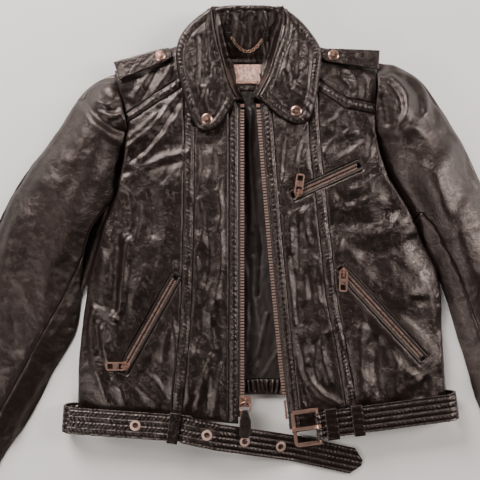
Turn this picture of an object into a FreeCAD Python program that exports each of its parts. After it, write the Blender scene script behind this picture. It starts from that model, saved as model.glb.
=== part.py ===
"""Leather riding jacket lying flat on its back: leather panels, lining, zips, belt, snaps.

Millimetres. +X is towards the sleeve on the right as the jacket is looked at, +Y towards
the collar, +Z up. The origin is under the middle of the jacket, on the surface it lies on.
"left" and "right" in names (_L, _R) are -X and +X.
"""
import FreeCAD
import Part
import Sketcher
import math
import os
from FreeCAD import Placement, Rotation, Vector

os.makedirs("parts", exist_ok=True)
doc = FreeCAD.newDocument("riding_jacket")

# ---------------------------------------------------------------- driving sizes

SIZES = {
    # sheets
    "leather": 2.0,
    "lining": 0.8,
    "band_rise": 0.8,
    "back_level": 3.8,
    "seam_level": 9.5,
    "seam_floor": 6.9,
    "front_level": 23.0,
    "front_lining_level": 19.6,
    "side_roll": 45.0,
    "shoulder_roll": 12.0,
    "band_width": 13.0,
    "placket_width": 12.0,
    "waistband_thick": 3.0,
    # sleeves
    "sleeve_level": 26.0,
    "sleeve_edge": 0.2,
    "sleeve_roll": 50.0,
    "puff_height": 16.0,
    "puff_reach": 35.0,
    "under_sleeve_thick": 2.2,
    # collar
    "collar_thick": 3.0,
    "collar_level": 26.5,
    "collar_slope": 0.06,
    "wall_thick": 2.4,
    # zips
    "zip_level": 24.0,
    "tape_thick": 0.6,
    "main_pitch": 3.8,
    "main_tooth_width": 5.0,
    "main_tooth_length": 2.2,
    "main_tooth_thick": 2.4,
    "main_slider_length": 13.0,
    "pocket_pitch": 2.5,
    "pocket_tooth_width": 2.6,
    "pocket_tooth_length": 1.4,
    "pocket_tooth_thick": 1.8,
    "pocket_row_gap": 0.9,
    "pocket_slider_length": 9.0,
    "slider_plate": 1.3,
    "slider_clear": 0.4,
    "window_width": 15.0,
    "window_margin": 7.0,
    "slit_width": 9.8,
    "lip_thick": 1.25,
    # pulls
    "ring_radius": 7.0,
    "ring_wire": 0.8,
    "tab_width": 15.0,
    "tab_length": 35.0,
    "tab_thick": 2.4,
    "ladder_width": 11.0,
    "ladder_length": 26.0,
    "ladder_bar": 1.4,
    "ladder_rail": 2.0,
    "bridge_width": 2.0,
    "bridge_bar": 1.0,
    # belt
    "belt_width": 35.0,
    "belt_thick": 3.4,
    "belt_level": 27.9,
    "loop_width": 15.0,
    "loop_thick": 1.8,
    "keeper_width": 16.0,
    "eyelet_outer": 6.9,
    "eyelet_bore": 3.9,
    "eyelet_lip": 0.8,
    "buckle_width": 36.0,
    "buckle_height": 47.0,
    "buckle_rail": 4.5,
    "buckle_thick": 3.2,
    "buckle_bar": 1.8,
    "buckle_level": 32.3,
    "prong_width": 4.0,
    "prong_thick": 2.2,
    # snaps
    "snap_radius": 7.0,
    "snap_thick": 2.2,
    "stud_radius": 3.5,
    # epaulettes
    "strap_thick": 2.6,
    "strap_level": 27.6,
}

sheet = doc.addObject("Spreadsheet::Sheet", "Sizes")
for row, (alias, value) in enumerate(SIZES.items(), start=1):
    sheet.set(f"A{row}", alias)
    sheet.set(f"B{row}", str(value))
    sheet.setAlias(f"B{row}", alias)
doc.recompute()


def mm(alias):
    """One size from the sheet."""
    return float(sheet.get(alias))


TOP = 80.0  # a height above everything, for cutting prisms
GAP = 0.5  # between pieces that move apart

# ---------------------------------------------------------------- outlines, looked at from above

ARMHOLE_L = [(-168, 246), (-153, 188), (-150, 172), (-155, 130), (-162, 98), (-168, 78)]
ARMHOLE_R = [(177, 262), (175, 204), (175, 169), (180, 137), (190, 108), (216, 67), (240, 17)]
SIDE_L = [(-168, 78), (-204, -41), (-212, -99), (-216, -138), (-217, -184), (-217, -204)]
SIDE_R = [(240, 17), (257, -19), (263, -60), (265, -119), (269, -169), (270, -200)]
SHOULDER_L = [(-168, 246), (-45, 297)]
SHOULDER_R = [(58, 287), (177, 262)]
SLEEVE_OUTER_L = [(-168, 246), (-187, 239), (-207, 226), (-229, 198), (-255, 156), (-290, 112),
                  (-318, 64), (-385, -112), (-451, -282)]
SLEEVE_INNER_L = [(-168, 78), (-216, -54), (-225, -104), (-250, -147), (-285, -215),
                  (-315, -258), (-348, -325)]
SLEEVE_OUTER_R = [(177, 262), (194, 258), (214, 252), (238, 237), (257, 212), (280, 176),
                  (298, 145), (315, 108), (383, -59), (451, -226)]
SLEEVE_INNER_R = [(240, 17), (260, -20), (284, -89), (296, -131), (309, -174), (342, -273)]
SLEEVE_SEAM_L = [(-140, 60), (-180, 70), (-236, -54), (-279, -132), (-315, -197), (-371, -340)]
SLEEVE_SEAM_R = [(235, 60), (252, 40), (282, -22), (309, -89), (327, -150), (376, -300)]
BAND_L = [(-68, 300), (-69, 184), (-70, 76), (-73, -41), (-75, -93), (-80, -145), (-84, -184),
          (-88, -260)]
BAND_R = [(87, 300), (93, 184), (98, 121), (103, 76), (110, 11), (116, -48), (121, -74),
          (129, -113), (140, -178), (154, -260)]
YOKE_L = [(-300, 80), (-152, 176), (-85, 221), (-28, 252), (20, 280)]
YOKE_R = [(10, 272), (58, 243), (100, 220), (135, 196), (176, 189), (300, 170)]
YOKE_BAND = 13.0
HEM_L = [(-217, -204), (-5.2, -216)]
HEM_R_SIDE = (270, -200)
ROLL_L = [(-38, 325), (-5, 207)]
ROLL_R = [(51, 325), (19, 210)]
LEAF_EDGE_L = [(-38, 325), (-66, 305), (-83, 281), (-86, 265), (-78, 219), (-66, 182), (-56, 168),
               (-44, 165), (-33, 170), (-24, 180), (-5.4, 207)]
LEAF_ROLL_L = [(-5.4, 207), (-15, 223), (-22, 245), (-30, 275), (-38, 325)]
LEAF_EDGE_R = [(51, 325), (76, 306), (95, 283), (101, 272), (100, 235), (98, 216), (92, 192),
               (85, 178), (75, 174), (62, 177), (42, 190), (19.4, 210)]
LEAF_ROLL_R = [(19.4, 210), (27, 223), (34, 237), (43, 265), (51, 286), (51, 325)]


def lines(points):
    """Straight edges through the points."""
    places = [Vector(x, y, 0) for x, y in points]
    return [Part.LineSegment(a, b).toShape() for a, b in zip(places, places[1:])]


def curve(points):
    """One smooth edge through the points."""
    line = Part.BSplineCurve()
    line.interpolate([Vector(x, y, 0) for x, y in points])
    return [line.toShape()]


def region(*runs):
    """The face inside runs of edges that join end to end."""
    return Part.Face(Part.Wire([edge for run in runs for edge in run]))


def polygon(points):
    return region(lines(points + points[:1]))


def shift(points, dx, dy=0.0):
    return [(x + dx, y + dy) for x, y in points]


def prism(face, low, high):
    """The face, raised to low and drawn up to high."""
    raised = face.copy()
    raised.translate(Vector(0, 0, low))
    return raised.extrude(Vector(0, 0, high - low))


def right_edge(y):
    """X of the middle of the right row of zip teeth, which bends away from the left row."""
    down = 197 - y
    return 21 + 0.07 * down + 0.00005 * down * down


def right_line(offset, top, bottom):
    """Points down the right row of teeth, moved sideways by offset."""
    steps = 6
    drop = (top - bottom) / steps
    return [(right_edge(top - k * drop) + offset, top - k * drop) for k in range(steps + 1)]


# ---------------------------------------------------------------- the lie of the leather


def signed_distance(x, y, line):
    """Distance to a line of points: positive on its left hand side."""
    best, side = math.inf, 1.0
    for (ax, ay), (bx, by) in zip(line, line[1:]):
        dx, dy = bx - ax, by - ay
        along = ((x - ax) * dx + (y - ay) * dy) / (dx * dx + dy * dy)
        along = max(0.0, min(1.0, along))
        distance = math.hypot(ax + along * dx - x, ay + along * dy - y)
        if distance < best - 1e-9:
            best, side = distance, dx * (y - ay) - dy * (x - ax)
    return math.copysign(best, side)


def rise(share):
    """A quarter wave from 0 at the edge to 1 on the flat, carried on a little way outside."""
    return math.sin(max(-0.25, min(share, 1.0)) * math.pi / 2)


def torso_height(x, y):
    """The front leather's lower face: flat over the chest, falling at the sides and shoulders."""
    left = [(-260, 180)] + SIDE_L + [(-217, -270)]
    right = [(271, -270)] + SIDE_R[::-1] + [(330, 120)]
    side = min(signed_distance(x, y, left), signed_distance(x, y, right))
    seam_l = [(100, 357), (-45, 297), (-168, 246), (-300, 191)]
    seam_r = [(350, 226), (177, 262), (58, 287), (-60, 312)]
    shoulder = min(signed_distance(x, y, seam_l), signed_distance(x, y, seam_r))
    low = mm("seam_level")
    high = mm("front_level") - low
    return low + high * rise(side / mm("side_roll")) * rise(shoulder / mm("shoulder_roll"))


def sleeve_height(x, y, outer, inner, armhole):
    """The top sleeve's lower face: a flattened tube with a gathered puff at its head."""
    off_outer = rise(signed_distance(x, y, outer) / mm("sleeve_roll"))
    off_inner = rise(signed_distance(x, y, inner) / mm("sleeve_roll"))
    away = abs(signed_distance(x, y, armhole)) / mm("puff_reach")
    puff = mm("puff_height") * away * math.exp(1 - away)
    low = mm("sleeve_edge")
    return low + (mm("sleeve_level") + puff - low) * off_outer * off_inner


def left_sleeve_height(x, y):
    return sleeve_height(x, y, SLEEVE_OUTER_L, SLEEVE_INNER_L[::-1] + [(-120, 180)], ARMHOLE_L)


def right_sleeve_height(x, y):
    return sleeve_height(x, y, SLEEVE_OUTER_R[::-1], [(150, 180)] + SLEEVE_INNER_R, ARMHOLE_R)


def height_face(height, x_low, x_high, y_low, y_high):
    """A smooth face through the heights on a grid."""
    step = 26.0
    across = round((x_high - x_low) / step)
    up = round((y_high - y_low) / step)
    rows = []
    for i in range(across + 1):
        x = x_low + (x_high - x_low) * i / across
        ys = [y_low + (y_high - y_low) * k / up for k in range(up + 1)]
        rows.append([Vector(x, y, height(x, y)) for y in ys])
    surface = Part.BSplineSurface()
    surface.interpolate(rows)
    return surface.toShape()


TORSO = height_face(torso_height, -235, 290, -245, 315)
SLEEVE_L = height_face(left_sleeve_height, -465, -140, -340, 262)
SLEEVE_R = height_face(right_sleeve_height, 165, 465, -290, 275)


def sheet_solid(face, surface, lift, thick, floor):
    """A sheet over the region: from lift above the surface, thick, kept above floor."""
    layer = surface.copy()
    layer.translate(Vector(0, 0, lift))
    slab = layer.extrude(Vector(0, 0, thick))
    return slab.common(prism(face, floor, TOP))


# ---------------------------------------------------------------- making document objects

parts = []


def keep(item, label):
    """Names an object as a sub-part."""
    item.Label = label
    parts.append(item)
    return item


def shaped(label, shape, place=None):
    """A sub-part whose shape is worked out from the sheet's sizes."""
    solids = shape.Solids
    item = doc.addObject("Part::Feature", label)
    item.Shape = solids[0] if len(solids) == 1 else Part.makeCompound(solids)
    if place:
        item.Placement = place
    return keep(item, label)


groups = {}


def gather(label, shape, place=None):
    """Adds like pieces to a group that becomes one sub-part of separate solids."""
    piece = shape.copy()
    if place:
        piece.Placement = place
    groups.setdefault(label, []).extend(piece.Solids)


def make_groups():
    for label, solids in groups.items():
        shaped(label, Part.makeCompound(solids))


def linked(label, items):
    """A sub-part that is a group of finished bodies."""
    group = doc.addObject("Part::Compound", label)
    group.Links = items
    return keep(group, label)


def plane_of(body, role):
    return next(item for item in body.Origin.OriginFeatures if item.Role == role)


def new_sketch(body, name, role):
    sketch = body.newObject("Sketcher::SketchObject", name)
    sketch.AttachmentSupport = (plane_of(body, role), [""])
    sketch.MapMode = "FlatFace"
    return sketch


def rectangle(sketch, width, height, left, bottom):
    """A rectangle in a sketch; its sides and the place of its corner are expressions."""
    first = sketch.GeometryCount
    corners = [Vector(0, 0, 0), Vector(9, 0, 0), Vector(9, 9, 0), Vector(0, 9, 0)]
    for a, b in zip(corners, corners[1:] + corners[:1]):
        sketch.addGeometry(Part.LineSegment(a, b), False)
    for k in range(4):
        sketch.addConstraint(Sketcher.Constraint("Coincident", first + k, 2, first + (k + 1) % 4, 1))
    for k, way in enumerate(("Horizontal", "Vertical", "Horizontal", "Vertical")):
        sketch.addConstraint(Sketcher.Constraint(way, first + k))
    sizes = (
        ("DistanceX", first, 1, first, 2, 9.0, width),
        ("DistanceY", first + 1, 1, first + 1, 2, 9.0, height),
        ("DistanceX", -1, 1, first, 1, 1.0, left),
        ("DistanceY", -1, 1, first, 1, 1.0, bottom),
    )
    for kind, a, a_end, b, b_end, start, size in sizes:
        index = sketch.addConstraint(Sketcher.Constraint(kind, a, a_end, b, b_end, start))
        sketch.setExpression(f"Constraints[{index}]", size)


def closed_lines(sketch, points):
    """A closed outline of straight lines in a sketch."""
    places = [Vector(x, y, 0) for x, y in points]
    for a, b in zip(places, places[1:] + places[:1]):
        sketch.addGeometry(Part.LineSegment(a, b), False)


def pad(body, sketch, length, midplane=False, reverse=False):
    feature = body.newObject("PartDesign::Pad", sketch.Name + "_pad")
    feature.Profile = sketch
    feature.setExpression("Length", length)
    if midplane:
        feature.SideType = "Symmetric"
    feature.Reversed = reverse
    return feature


def pocket(body, sketch):
    """Cuts the sketch right through its body, both ways, and checks that it cut."""
    before = body.Shape.Volume
    feature = body.newObject("PartDesign::Pocket", sketch.Name + "_pocket")
    feature.Profile = sketch
    feature.Type = 1
    feature.SideType = "Two sides"
    feature.Type2 = 1
    doc.recompute()
    if body.Shape.Volume >= before:
        raise ValueError(f"{body.Name}: the pocket cut nothing")
    return feature


def turned(body, name, points):
    """A revolution about the body's Z axis of an outline given as (radius, height)."""
    sketch = new_sketch(body, name, "XZ_Plane")
    closed_lines(sketch, points)
    feature = body.newObject("PartDesign::Revolution", name + "_turn")
    feature.Profile = sketch
    feature.ReferenceAxis = (sketch, ["V_Axis"])
    feature.Angle = 360
    return feature


def yaw(degrees):
    return Rotation(Vector(0, 0, 1), degrees)


# ---------------------------------------------------------------- torso regions

FRONT_L = region(
    lines([(-5.2, -216), (-5.2, 197), (-9, 206), (-24, 262), (-45, 297)]),
    lines(SHOULDER_L[::-1]), lines(ARMHOLE_L), curve(SIDE_L), lines(HEM_L))
RIGHT_LINE = right_line(5.2, 197, -228)
FRONT_R = region(
    lines(RIGHT_LINE[::-1] + [(26, 210), (38, 262), (58, 287)]),
    lines(SHOULDER_R), lines(ARMHOLE_R), curve(SIDE_R), lines([HEM_R_SIDE, RIGHT_LINE[-1]]))
FAR = 400.0


def between(left, right):
    """The strip between two lines that run down the jacket."""
    return polygon(left + right[::-1])


def side_regions(side):
    """The strips of one front: outside the band, the band, inside it, the placket, and yoke cuts."""
    half = mm("band_width") / 2
    band = BAND_L if side == "L" else BAND_R
    away = -FAR if side == "L" else FAR
    outer = shift(band, -half if side == "L" else half)
    inner = shift(band, half if side == "L" else -half)
    if side == "L":
        placket = [(-5.2 - mm("placket_width"), 300), (-5.2 - mm("placket_width"), -260)]
        edge = [(5, 300), (5, -260)]
    else:
        placket = right_line(5.2 + mm("placket_width"), 300, -260)
        edge = right_line(2, 300, -260)
    far = [(away, 300), (away, -260)]
    strips = {"side": (far, outer), "band": (outer, inner),
              "centre": (inner, placket), "placket": (placket, edge)}
    return {name: between(a, b) for name, (a, b) in strips.items()}


def yoke_regions(side):
    line = YOKE_L if side == "L" else YOKE_R
    upper = shift(line, 0, YOKE_BAND)
    below = polygon(line + [(line[-1][0], -300), (line[0][0], -300)])
    band = polygon(line + upper[::-1])
    above = polygon(upper + [(upper[-1][0], 400), (upper[0][0], 400)])
    return below, band, above


# ---------------------------------------------------------------- pocket places

# name: zip start (at the slider), zip end, direction that the pull points, degrees
POCKETS = {
    "chest": ((70, 84), (149, 120), 82.0),
    "right": ((130, -16), (233, -128), -92.0),
    "left": ((-154, -143), (-89, -28), 180.0),
}


def pocket_frame(start, end):
    """The placement with X along the zip and its origin at the zip's start; and its length."""
    dx, dy = end[0] - start[0], end[1] - start[1]
    turn = yaw(math.degrees(math.atan2(dy, dx)))
    return Placement(Vector(start[0], start[1], mm("zip_level")), turn), math.hypot(dx, dy)


def window(start, end):
    """The opening in the leather that a pocket zip sits in, from above."""
    place, length = pocket_frame(start, end)
    margin, half = mm("window_margin"), mm("window_width") / 2
    corners = [(-margin, -half), (length + margin, -half), (length + margin, half), (-margin, half)]
    spots = [place.multVec(Vector(x, y, 0)) for x, y in corners]
    return polygon([(spot.x, spot.y) for spot in spots])


WINDOWS = {name: window(start, end) for name, (start, end, _) in POCKETS.items()}


# ---------------------------------------------------------------- leather, lining


def make_front(side, whole, cuts):
    """One front: side panel, princess band, centre panel, placket, yoke band, shoulder yoke."""
    strips = side_regions(side)
    below, yoke_band, above = yoke_regions(side)
    leather, floor = mm("leather"), 0.0
    raised = leather + mm("band_rise")
    lower = whole.common(below)
    for name in cuts:
        lower = lower.cut(WINDOWS[name])
    for name, node, thick in (("side", "front_side_panel", leather),
                              ("centre", "front_centre_panel", leather)):
        face = lower.common(strips[name])
        shaped(f"{node}_{side}", sheet_solid(face, TORSO, 0, thick, floor))
    gather("princess_bands", sheet_solid(lower.common(strips["band"]), TORSO, 0, raised, floor))
    tape_top = mm("zip_level") + mm("tape_thick") / 2 + 0.15 - mm("front_level")
    face = whole.common(strips["placket"])
    gather("plackets", sheet_solid(face, TORSO, tape_top, 1.5, floor))
    rest = whole.cut(strips["placket"])
    face = rest.common(yoke_band)
    gather("yoke_bands", sheet_solid(face, TORSO, 0, raised, floor))
    face = rest.common(above)
    shaped(f"shoulder_yoke_{side}", sheet_solid(face, TORSO, 0, leather, floor))
    drop = mm("front_lining_level") - mm("front_level")
    gather("front_linings", sheet_solid(whole, TORSO, drop, mm("lining"), mm("seam_floor")))


def make_facing(side):
    """The leather strip behind a zip tape."""
    if side == "L":
        face = polygon([(-5.2, 190), (-5.2, -212), (-40, -211), (-40, 190)])
    else:
        near, far = right_line(5.2, 190, -222), right_line(32, 190, -217)
        face = polygon(near + far[::-1])
    low = mm("front_level") - 1.4
    gather("front_facings", prism(face, low, mm("front_level") - 0.2))


def make_back():
    """Back panel, yoke, waistband and lining, and the neck facing with its label."""
    level, leather = mm("back_level"), mm("leather")
    inset = 2.0
    left = shift(ARMHOLE_L + SIDE_L[1:5], inset)
    right = shift(ARMHOLE_R + SIDE_R[1:5], -inset)
    neck = [(-45, 290), (-20, 284), (6, 283), (33, 284), (58, 281)]
    bottom = [(-215, -181), (267, -181)]
    whole = polygon(neck + right + bottom[::-1] + left[::-1])
    waist_top, yoke_seam = -161.0, 190.0
    cuts = {"back_waistband": (-181.0, waist_top, mm("waistband_thick")),
            "back_panel": (waist_top, yoke_seam, leather),
            "back_yoke": (yoke_seam, 300.0, leather)}
    for node, (low, high, thick) in cuts.items():
        strip = polygon([(-FAR, low), (FAR, low), (FAR, high), (-FAR, high)])
        shaped(node, prism(whole.common(strip), level, level + thick))
    top = level + leather
    strip = polygon([(-FAR, waist_top), (FAR, waist_top), (FAR, 262.0), (-FAR, 262.0)])
    shaped("back_lining", prism(whole.common(strip), top, top + mm("lining")))
    facing = [(-17, 262.4), (-4, 222), (19, 222), (30, 262.4)]
    top += mm("lining") + 0.1
    shaped("back_neck_facing", prism(polygon(facing), top, top + 1.2))
    label = polygon([(-9, 231), (24, 231), (26, 257), (-11, 257)])
    shaped("neck_label", prism(label, top + 1.25, top + 2.0))


def make_sleeve(side, surface, armhole, outer, inner, seam, far):
    """Top sleeve, under sleeve wrapping round to its seam on top, and lining."""
    whole = region(lines(armhole[::-1]), curve(outer), lines([outer[-1], inner[-1]]),
                   curve(inner[::-1]))
    strip = whole.common(polygon(seam + far))
    upper = whole.cut(strip)
    leather, base = mm("leather"), mm("under_sleeve_thick")
    shaped(f"top_sleeve_{side}", sheet_solid(upper, surface, 0, leather, base + 0.1))
    wrap = sheet_solid(strip, surface, 0, leather, 0.4)
    under = prism(whole, 0, base).fuse(wrap)
    shaped(f"under_sleeve_{side}", max(under.Solids, key=lambda solid: solid.Volume))
    tube = sheet_solid(whole, surface, -2.0, mm("lining"), base + 0.1)
    gather("sleeve_linings", tube)


# ---------------------------------------------------------------- collar


def collar_bottom(y):
    return mm("collar_level") + (y - 165) * mm("collar_slope")


def make_leaf(side, edge, roll):
    """One front leaf of the collar, a flat sheet that rises towards the neck."""
    low, high = 150.0, 340.0
    profile = [Vector(-200, low, collar_bottom(low)), Vector(-200, high, collar_bottom(high)),
               Vector(-200, high, collar_bottom(high) + mm("collar_thick")),
               Vector(-200, low, collar_bottom(low) + mm("collar_thick"))]
    slab = Part.Face(Part.makePolygon(profile + profile[:1])).extrude(Vector(400, 0, 0))
    face = region(curve(edge), curve(roll))
    shaped(f"collar_leaf_{side}", slab.common(prism(face, 0, TOP)))


def roll_wall(roll, inward):
    """The wall of the stand under one roll line, leaning on nothing that turns."""
    (x0, y0), (x1, y1) = roll
    y_neck = 262.0
    x_neck = x0 + (x1 - x0) * (y0 - y_neck) / (y0 - y1)
    thick = mm("collar_thick")
    outline = [Vector(x0, y0, 7.0), Vector(x_neck, y_neck, 7.0), Vector(x1, y1, 20.0),
               Vector(x1, y1, collar_bottom(y1) + thick), Vector(x0, y0, collar_bottom(y0) + thick)]
    wall = Part.Face(Part.makePolygon(outline + outline[:1]))
    wall.translate(Vector(inward * 0.8, 0, 0))
    return wall.extrude(Vector(inward * mm("wall_thick"), 0, 0))


def make_stand():
    """The stand: a sloping back piece and the two walls under the roll lines."""
    foot_y, foot_z, head_y, head_z = 266.0, 7.6, 319.0, 36.0
    thick = 3.0
    profile = [Vector(-200, foot_y, foot_z), Vector(-200, head_y, head_z),
               Vector(-200, head_y, head_z + thick), Vector(-200, foot_y, foot_z + thick)]
    slab = Part.Face(Part.makePolygon(profile + profile[:1])).extrude(Vector(400, 0, 0))
    plan = polygon([(-19.6, 262), (-37.4, 326), (50.4, 326), (32.7, 262)])
    back = slab.common(prism(plan, 0, TOP))
    stand = back.fuse([roll_wall(ROLL_L, 1), roll_wall(ROLL_R, -1)])
    shaped("collar_stand", stand.removeSplitter())
    fall = Part.makeBox(81.0, 2.4, 30.0, Vector(-34.0, 322.6, 8.0))
    shaped("collar_back_fall", fall)


def stand_top(y):
    """The height of the stand's upper face."""
    return 7.6 + 3.0 + (y - 266.0) * (36.0 - 7.6) / (319.0 - 266.0)


def make_hanger():
    """A fine chain of round links that hangs across the stand, held by two leather tabs."""
    ring, wire, pitch = 2.0, 0.45, 2.9
    slope = math.atan2(36.0 - 7.6, 319.0 - 266.0)
    lean = Rotation(Vector(1, 0, 0), math.degrees(slope))
    x0, x1, y_end, sag = -13.0, 27.0, 287.0, 15.0
    links, x = [], x0
    while x <= x1:
        share = (2 * x - x0 - x1) / (x1 - x0)
        y = y_end - sag * (1 - share * share)
        tilt = math.degrees(math.atan(4 * sag * share / (x1 - x0)))
        roll = 45.0 if len(links) % 2 else -45.0
        link = Part.makeTorus(ring, wire)
        turn = lean.multiply(yaw(tilt)).multiply(Rotation(Vector(1, 0, 0), roll))
        link.Placement = Placement(Vector(x, y, stand_top(y) + 3.6), turn)
        links.append(link)
        x += pitch * math.cos(math.radians(tilt))
    shaped("hanger_chain", Part.makeCompound(links))
    tabs = []
    for x_low in (-22.3, 27.3):
        tab = Part.makeBox(8.0, 13.0, 1.6)
        tab.Placement = Placement(Vector(x_low, 284.0, stand_top(284.0) + 0.05), lean)
        tabs.append(tab)
    shaped("hanger_tabs", Part.makeCompound(tabs))


# ---------------------------------------------------------------- snaps and epaulettes


def make_snap(label, place):
    """A domed snap cap with its socket, turned about its own axis."""
    body = doc.addObject("PartDesign::Body", label)
    r, thick = mm("snap_radius"), mm("snap_thick")
    turned(body, label + "_profile", [(0, 0), (r, 0), (r, thick * 0.35), (r - 1.6, thick * 0.85),
                                      (0, thick)])
    body.Placement = place
    return keep(body, label)


# strap: origin at the sleeve end, direction to the neck, side lean
STRAPS = {"L": ((-163.5, 243.5), 19.0, -4.0), "R": ((178.0, 258.0), 174.5, 4.0)}
STRAP_LENGTH = 77.0
STRAP_SNAP = 60.0


def strap_place(side):
    (x, y), turn, lean = STRAPS[side]
    spin = yaw(turn).multiply(Rotation(Vector(1, 0, 0), lean))
    return Placement(Vector(x, y, mm("strap_level")), spin)


def make_epaulette(side):
    """A tapering strap, sewn in at the sleeve end and snapped down at its pointed neck end."""
    body = doc.addObject("PartDesign::Body", f"epaulette_{side}")
    sketch = new_sketch(body, f"strap_outline_{side}", "XY_Plane")
    wide, narrow = 13.0, 9.0
    closed_lines(sketch, [(0, -wide), (STRAP_LENGTH - 12, -narrow), (STRAP_LENGTH - 3, -narrow * 0.7),
                          (STRAP_LENGTH, 0), (STRAP_LENGTH - 3, narrow * 0.7),
                          (STRAP_LENGTH - 12, narrow), (0, wide)])
    pad(body, sketch, "Sizes.strap_thick")
    body.Placement = strap_place(side)
    keep(body, f"epaulette_{side}")
    cap = strap_place(side).multiply(
        Placement(Vector(STRAP_SNAP, 0, mm("strap_thick") + 0.02), Rotation()))
    make_snap(f"epaulette_snap_{side}", cap)


COLLAR_SNAPS = {"L": (-46, 181), "R": (70, 191)}


def make_collar_snap(side):
    x, y = COLLAR_SNAPS[side]
    lean = math.degrees(math.atan(mm("collar_slope")))
    top = collar_bottom(y) + mm("collar_thick") + 0.45
    make_snap(f"collar_snap_{side}", Placement(Vector(x, y, top), Rotation(Vector(1, 0, 0), lean)))


def make_studs():
    """The snap halves that stay on the jacket, under the collar points and epaulettes."""
    studs = []
    for x, y in COLLAR_SNAPS.values():
        low = mm("front_level") + mm("leather") + 0.02
        high = collar_bottom(y) - mm("collar_slope") * 5 - GAP
        studs.append(Part.makeCylinder(mm("stud_radius"), high - low, Vector(x, y, low)))
    for side in STRAPS:
        under = strap_place(side).multVec(Vector(STRAP_SNAP, 0, 0))
        reach = mm("stud_radius")
        around = [(0, 0), (reach, 0), (-reach, 0), (0, reach), (0, -reach)]
        low = max(torso_height(under.x + dx, under.y + dy) for dx, dy in around)
        low += mm("leather") + 0.4
        high = under.z - 0.8
        spot = Vector(under.x, under.y, low)
        studs.append(Part.makeCylinder(mm("stud_radius"), high - low, spot))
    shaped("snap_studs", Part.makeCompound(studs))


# ---------------------------------------------------------------- main zip


def tooth(width, length, thick, place):
    item = Part.makeBox(width, length, thick, Vector(-width / 2, -length / 2, -thick / 2))
    item.Placement = place
    return item


def make_main_zip():
    """Two tapes with rows of teeth, a stop at the top and the pin and box at the bottom."""
    level, half = mm("zip_level"), mm("main_tooth_width") / 2
    low, high = level - mm("tape_thick") / 2, level + mm("tape_thick") / 2
    sizes = mm("main_tooth_width"), mm("main_tooth_length"), mm("main_tooth_thick")
    tape = polygon([(-16, 203), (-half, 203), (-half, -207), (-16, -207)])
    gather("main_zip_tapes", prism(tape, low, high))
    near, far = right_line(half + 0.1, 203, -224), right_line(16, 203, -224)
    gather("main_zip_tapes", prism(polygon(near + far[::-1]), low, high))
    rows = {"L": [], "R": []}
    y = 193.0
    while y > -183.0:
        rows["L"].append(tooth(*sizes, Placement(Vector(0, y, level), Rotation())))
        slant = math.degrees(math.atan(0.07 + 0.0001 * (197 - y)))
        rows["R"].append(tooth(*sizes, Placement(Vector(right_edge(y), y, level), yaw(slant))))
        y -= mm("main_pitch")
    shaped("main_zip_teeth", Part.makeCompound(rows["L"] + rows["R"]))
    stops = [tooth(5.0, 4.0, 3.0, Placement(Vector(x, 199.5, level), Rotation()))
             for x in (0.0, right_edge(199.5))]
    box = tooth(9.0, 8.0, 3.4, Placement(Vector(2.0, -203, level), Rotation()))
    slant = math.degrees(math.atan(0.07 + 0.0001 * 395))
    pin = tooth(3.0, 24.0, 2.6, Placement(Vector(right_edge(-198) + 0.4, -198, level), yaw(slant)))
    shaped("main_zip_stops_box_and_pin", Part.makeCompound(stops + [box, pin]))


def make_slider(label, web, channel, teeth_thick, length, place, pull_turn):
    """A zip slider: channels on both sides of a web, and a bridge that the pull hangs on."""
    clear, plate, flange = mm("slider_clear"), mm("slider_plate"), 0.8
    inner, outer = web, channel + clear
    half = teeth_thick / 2 + clear
    slot = mm("tape_thick") / 2 + clear
    top = half + plate
    edge = outer + flange
    outline = [(-edge, -top), (edge, -top), (edge, -slot), (outer, -slot), (outer, -half),
               (inner, -half), (inner, half), (outer, half), (outer, slot), (edge, slot),
               (edge, top), (-edge, top), (-edge, slot), (-outer, slot), (-outer, half),
               (-inner, half), (-inner, -half), (-outer, -half), (-outer, -slot), (-edge, -slot)]
    body = doc.addObject("PartDesign::Body", label + "_shell")
    sketch = new_sketch(body, label + "_section", "XZ_Plane")
    closed_lines(sketch, outline)
    pad(body, sketch, length, midplane=True)
    body.Placement = place
    bridge = doc.addObject("PartDesign::Body", label + "_bridge")
    side = new_sketch(bridge, label + "_arch", "YZ_Plane")
    rectangle(side, "2 * 3.6", "Sizes.bridge_bar + 2.9", "-3.6", f"{top:.3f} - 0.1")
    pad(bridge, side, "Sizes.bridge_width", midplane=True)
    doc.recompute()
    hole = new_sketch(bridge, label + "_eye", "YZ_Plane")
    rectangle(hole, "2 * 2.5", "2.8", "-2.5", f"{top:.3f}")
    pocket(bridge, hole)
    bridge.Placement = place.multiply(Placement(Vector(), yaw(pull_turn)))
    whole = doc.addObject("Part::Fuse", label)
    whole.Base = body
    whole.Tool = bridge
    return keep(whole, label), top


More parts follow.
